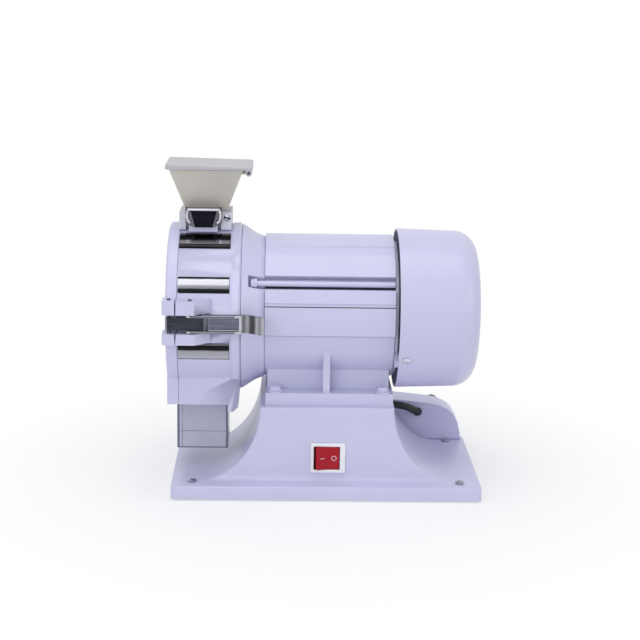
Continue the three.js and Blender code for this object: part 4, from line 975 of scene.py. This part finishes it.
# The dark gap between the door's block and the drum's, on the front, is placed from the drum's left end,
# the shaft axis and the foot of the door
block_corner = Vector((extent("drum_body")[0].x, home.y, extent("door_plate")[0].z))
block_gap_high = Vector((1.9, -49, 15)) * MM


def block_gap():
    front = -60 * MM
    return boxed("block_gap", block_corner + Vector((-overrun, front, -overrun)), block_corner + block_gap_high)


def darken_block_gap(piece):
    deepest = -54.5 * MM
    reach = block_gap_high + Vector((0.1, 1, 0.5)) * MM

    def inside(center, normal):
        x, y, z = center - block_corner
        return x < reach.x and deepest < y < reach.y and z < reach.z

    # The faces inside the gap take painted shade.
    striped_by(piece, groove_dark, inside)


def thinner_lid(piece):
    """The lid's top falls a little towards its hinge."""
    low, high = extent("hopper_lid")
    thick, thinnest = 4.2 * MM, 0.6
    bottom = high.z - thick
    for vertex in piece.data.vertices:
        if vertex.co.z > bottom + 0.5 * MM:
            share = (high.x - vertex.co.x) / (high.x - low.x)
            vertex.co.z = bottom + (vertex.co.z - bottom) * (thinnest + (1 - thinnest) * share * share)


def plain_faces(piece, level, rounded):
    """Flat faces keep one material, and the rounded edges between them take another."""
    coated(piece, level)
    least = 0.97
    striped_by(piece, rounded, lambda center, normal: max(abs(c) for c in normal) < least)


def hopper_saddle():
    """The hopper's base, moved a little to the left: plastic above the drum and painted below."""
    low, high = extent("hopper_base")
    left_end, right_end, painted = -1.5 * MM, -4.2 * MM, shaft_z + drum_radius - 0.5 * MM
    saddle = softened("hopper_base", 1.0 * MM, reshape=lambda mesh: split_at(mesh, [(2, painted)]))
    striped_by(saddle, paint, lambda center, normal: center.z < painted)
    for vertex in saddle.data.vertices:
        share = (vertex.co.x - low.x) / (high.x - low.x)
        vertex.co.x += left_end * (1 - share) + right_end * share


def latch_lever():
    lever = softened("latch_lever", 0.5 * MM)
    # The lever's rounded edges take a painted highlight.
    plain_faces(lever, lever_steel, bright_steel)
    right = extent("latch_lever")[1].x
    tab = right - 21 * MM
    # The tab's bands of grey are a painted reflection.
    reflection_bands = painted_reflection_finish("lever_tab_painted_reflection", (1, 0, 0), tab, right, [
        (0, 0.6), (0.12, 0.1), (0.3, 0.35), (0.45, 0.06), (0.6, 0.07), (0.7, 0.4), (0.85, 0.22), (1, 0.5)], 0.25)
    striped_by(lever, reflection_bands, lambda center, normal: center.x > tab)


base_casting()
switch_frame()
rocker()
fasteners()
fan_cover()
wheels()
sample_box()
hopper_clip()
darken_block_gap(softened("drum_body", 0.6 * MM, cutters=chamber_strips() + [block_gap()]))
darken_grooves(softened("motor_frame", 0.4 * MM, cutters=motor_grooves(), reshape=shifted_rib))
softened("adapter_bell", 0.5 * MM, cutters=rod_pockets())
hopper_saddle()
for name, radius in dict(door_plate=0.8, hopper_funnel=0.5, spout_shoe=0.3, wiring_housing=0.8).items():
    softened(name, radius * MM)
for name, radius in dict(end_bell_rear=0.4, tie_rod_front=0.3, tie_rod_rear=0.3).items():
    softened(name, radius * MM, finish=paint)
thinner_lid(softened("hopper_lid", 1.2 * MM, finish=lid_plastic))
# The hook's rounded edges are painted lighter than its flat faces.
plain_faces(softened("latch_hook", 1.0 * MM, 3), hook_steel, edge_steel)
latch_lever()


# Studio: floor, world, lamps and camera

def blended(w, share, first, second):
    mix = w.node("ShaderNodeMixShader")
    for source, socket in zip((share, first, second), mix.inputs):
        w.link(source, socket)
    return mix.outputs[0]


def studio_white(w, shaded, kind):
    """Camera, glossy and transmission rays see plain white, other rays the shaded one."""
    rays = w.node("ShaderNodeLightPath").outputs
    seen = w.calc("MAXIMUM", w.calc("MAXIMUM", rays["Is Camera Ray"], rays["Is Glossy Ray"]),
                  rays["Is Transmission Ray"])
    return blended(w, seen, shaded.outputs[0], w.first(kind, Color=(1, 1, 1, 1), Strength=1.0))


world = bpy.data.worlds.new("studio")
bpy.context.scene.world = world
world.use_nodes = True
sky = Wiring(world.node_tree)
surround = sky.tree.nodes["Background"]
surround.inputs["Color"].default_value = (0.93, 0.95, 1.0, 1)
surround.inputs["Strength"].default_value = 0.6
sky.link(studio_white(sky, surround, "ShaderNodeBackground"), sky.tree.nodes["World Output"].inputs["Surface"])

# The floor shows its shading and the shadow near the object, and plain studio white further out
floor_half, shadow_end, white_start, least_white = 30, 0.18, 0.36, 0.5
floor_finish, w, shader, place = new_finish("studio_floor")
shader.inputs["Roughness"].default_value = 0.9
shader.inputs["Specular IOR Level"].default_value = 0.0
tinted(w, shader, grain(w, place, 3, 2), (0.93, 0.93, 0.935), (0.95, 0.95, 0.955))
fade = w.first("ShaderNodeMapRange", From_Min=shadow_end, From_Max=white_start, To_Min=least_white,
               Value=w.calc("LENGTH", place, kind="ShaderNodeVectorMath"))
w.link(blended(w, fade, shader.outputs[0], studio_white(w, shader, "ShaderNodeEmission")),
       w.tree.nodes["Material Output"].inputs["Surface"])
floor = new_piece("floor", meshed("floor", [(x * floor_half, y * floor_half, 0) for x, y in square], [(0, 1, 2, 3)]))
floor.data.materials.append(floor_finish)

# Square lamps that look at the middle of the object: place, size in metres and watts
aim = Vector((0, 0, 0.16))
for name, place, size, watts in (("top_softbox", (-0.25, -0.35, 1.9), 1.6, 12),
                                 ("front_softbox", (-0.9, -2.2, 1.1), 1.4, 13),
                                 ("right_softbox", (1.9, -0.9, 0.9), 1.0, 5)):
    light = bpy.data.lights.new(name, "AREA")
    light.size, light.energy = size, watts
    lamp = new_piece(name, light)
    lamp.location = place
    lamp.rotation_euler = (aim - Vector(place)).to_track_quat("-Z", "Y").to_euler()

# Camera: its place and turns were fitted to about forty-five points of the photo
photo_side, focal_pixels = 640, 1575
optics = bpy.data.cameras.new("photo_camera")
optics.sensor_width = 36
optics.lens = optics.sensor_width * focal_pixels / photo_side
optics.clip_end = 100
camera = new_piece("photo_camera", optics)
down, turn, roll = (math.radians(angle) for angle in (13, 1.56, 1.0))
spot = home + Vector((-47.5, -1497.6, 503)) * MM
camera.matrix_world = (Matrix.Translation(spot) @ Matrix.Rotation(-turn, 4, "Z")
                       @ Matrix.Rotation(QUARTER - down, 4, "X") @ Matrix.Rotation(roll, 4, "Z"))
bpy.context.scene.camera = camera
bpy.context.scene.view_settings.view_transform = "Standard"
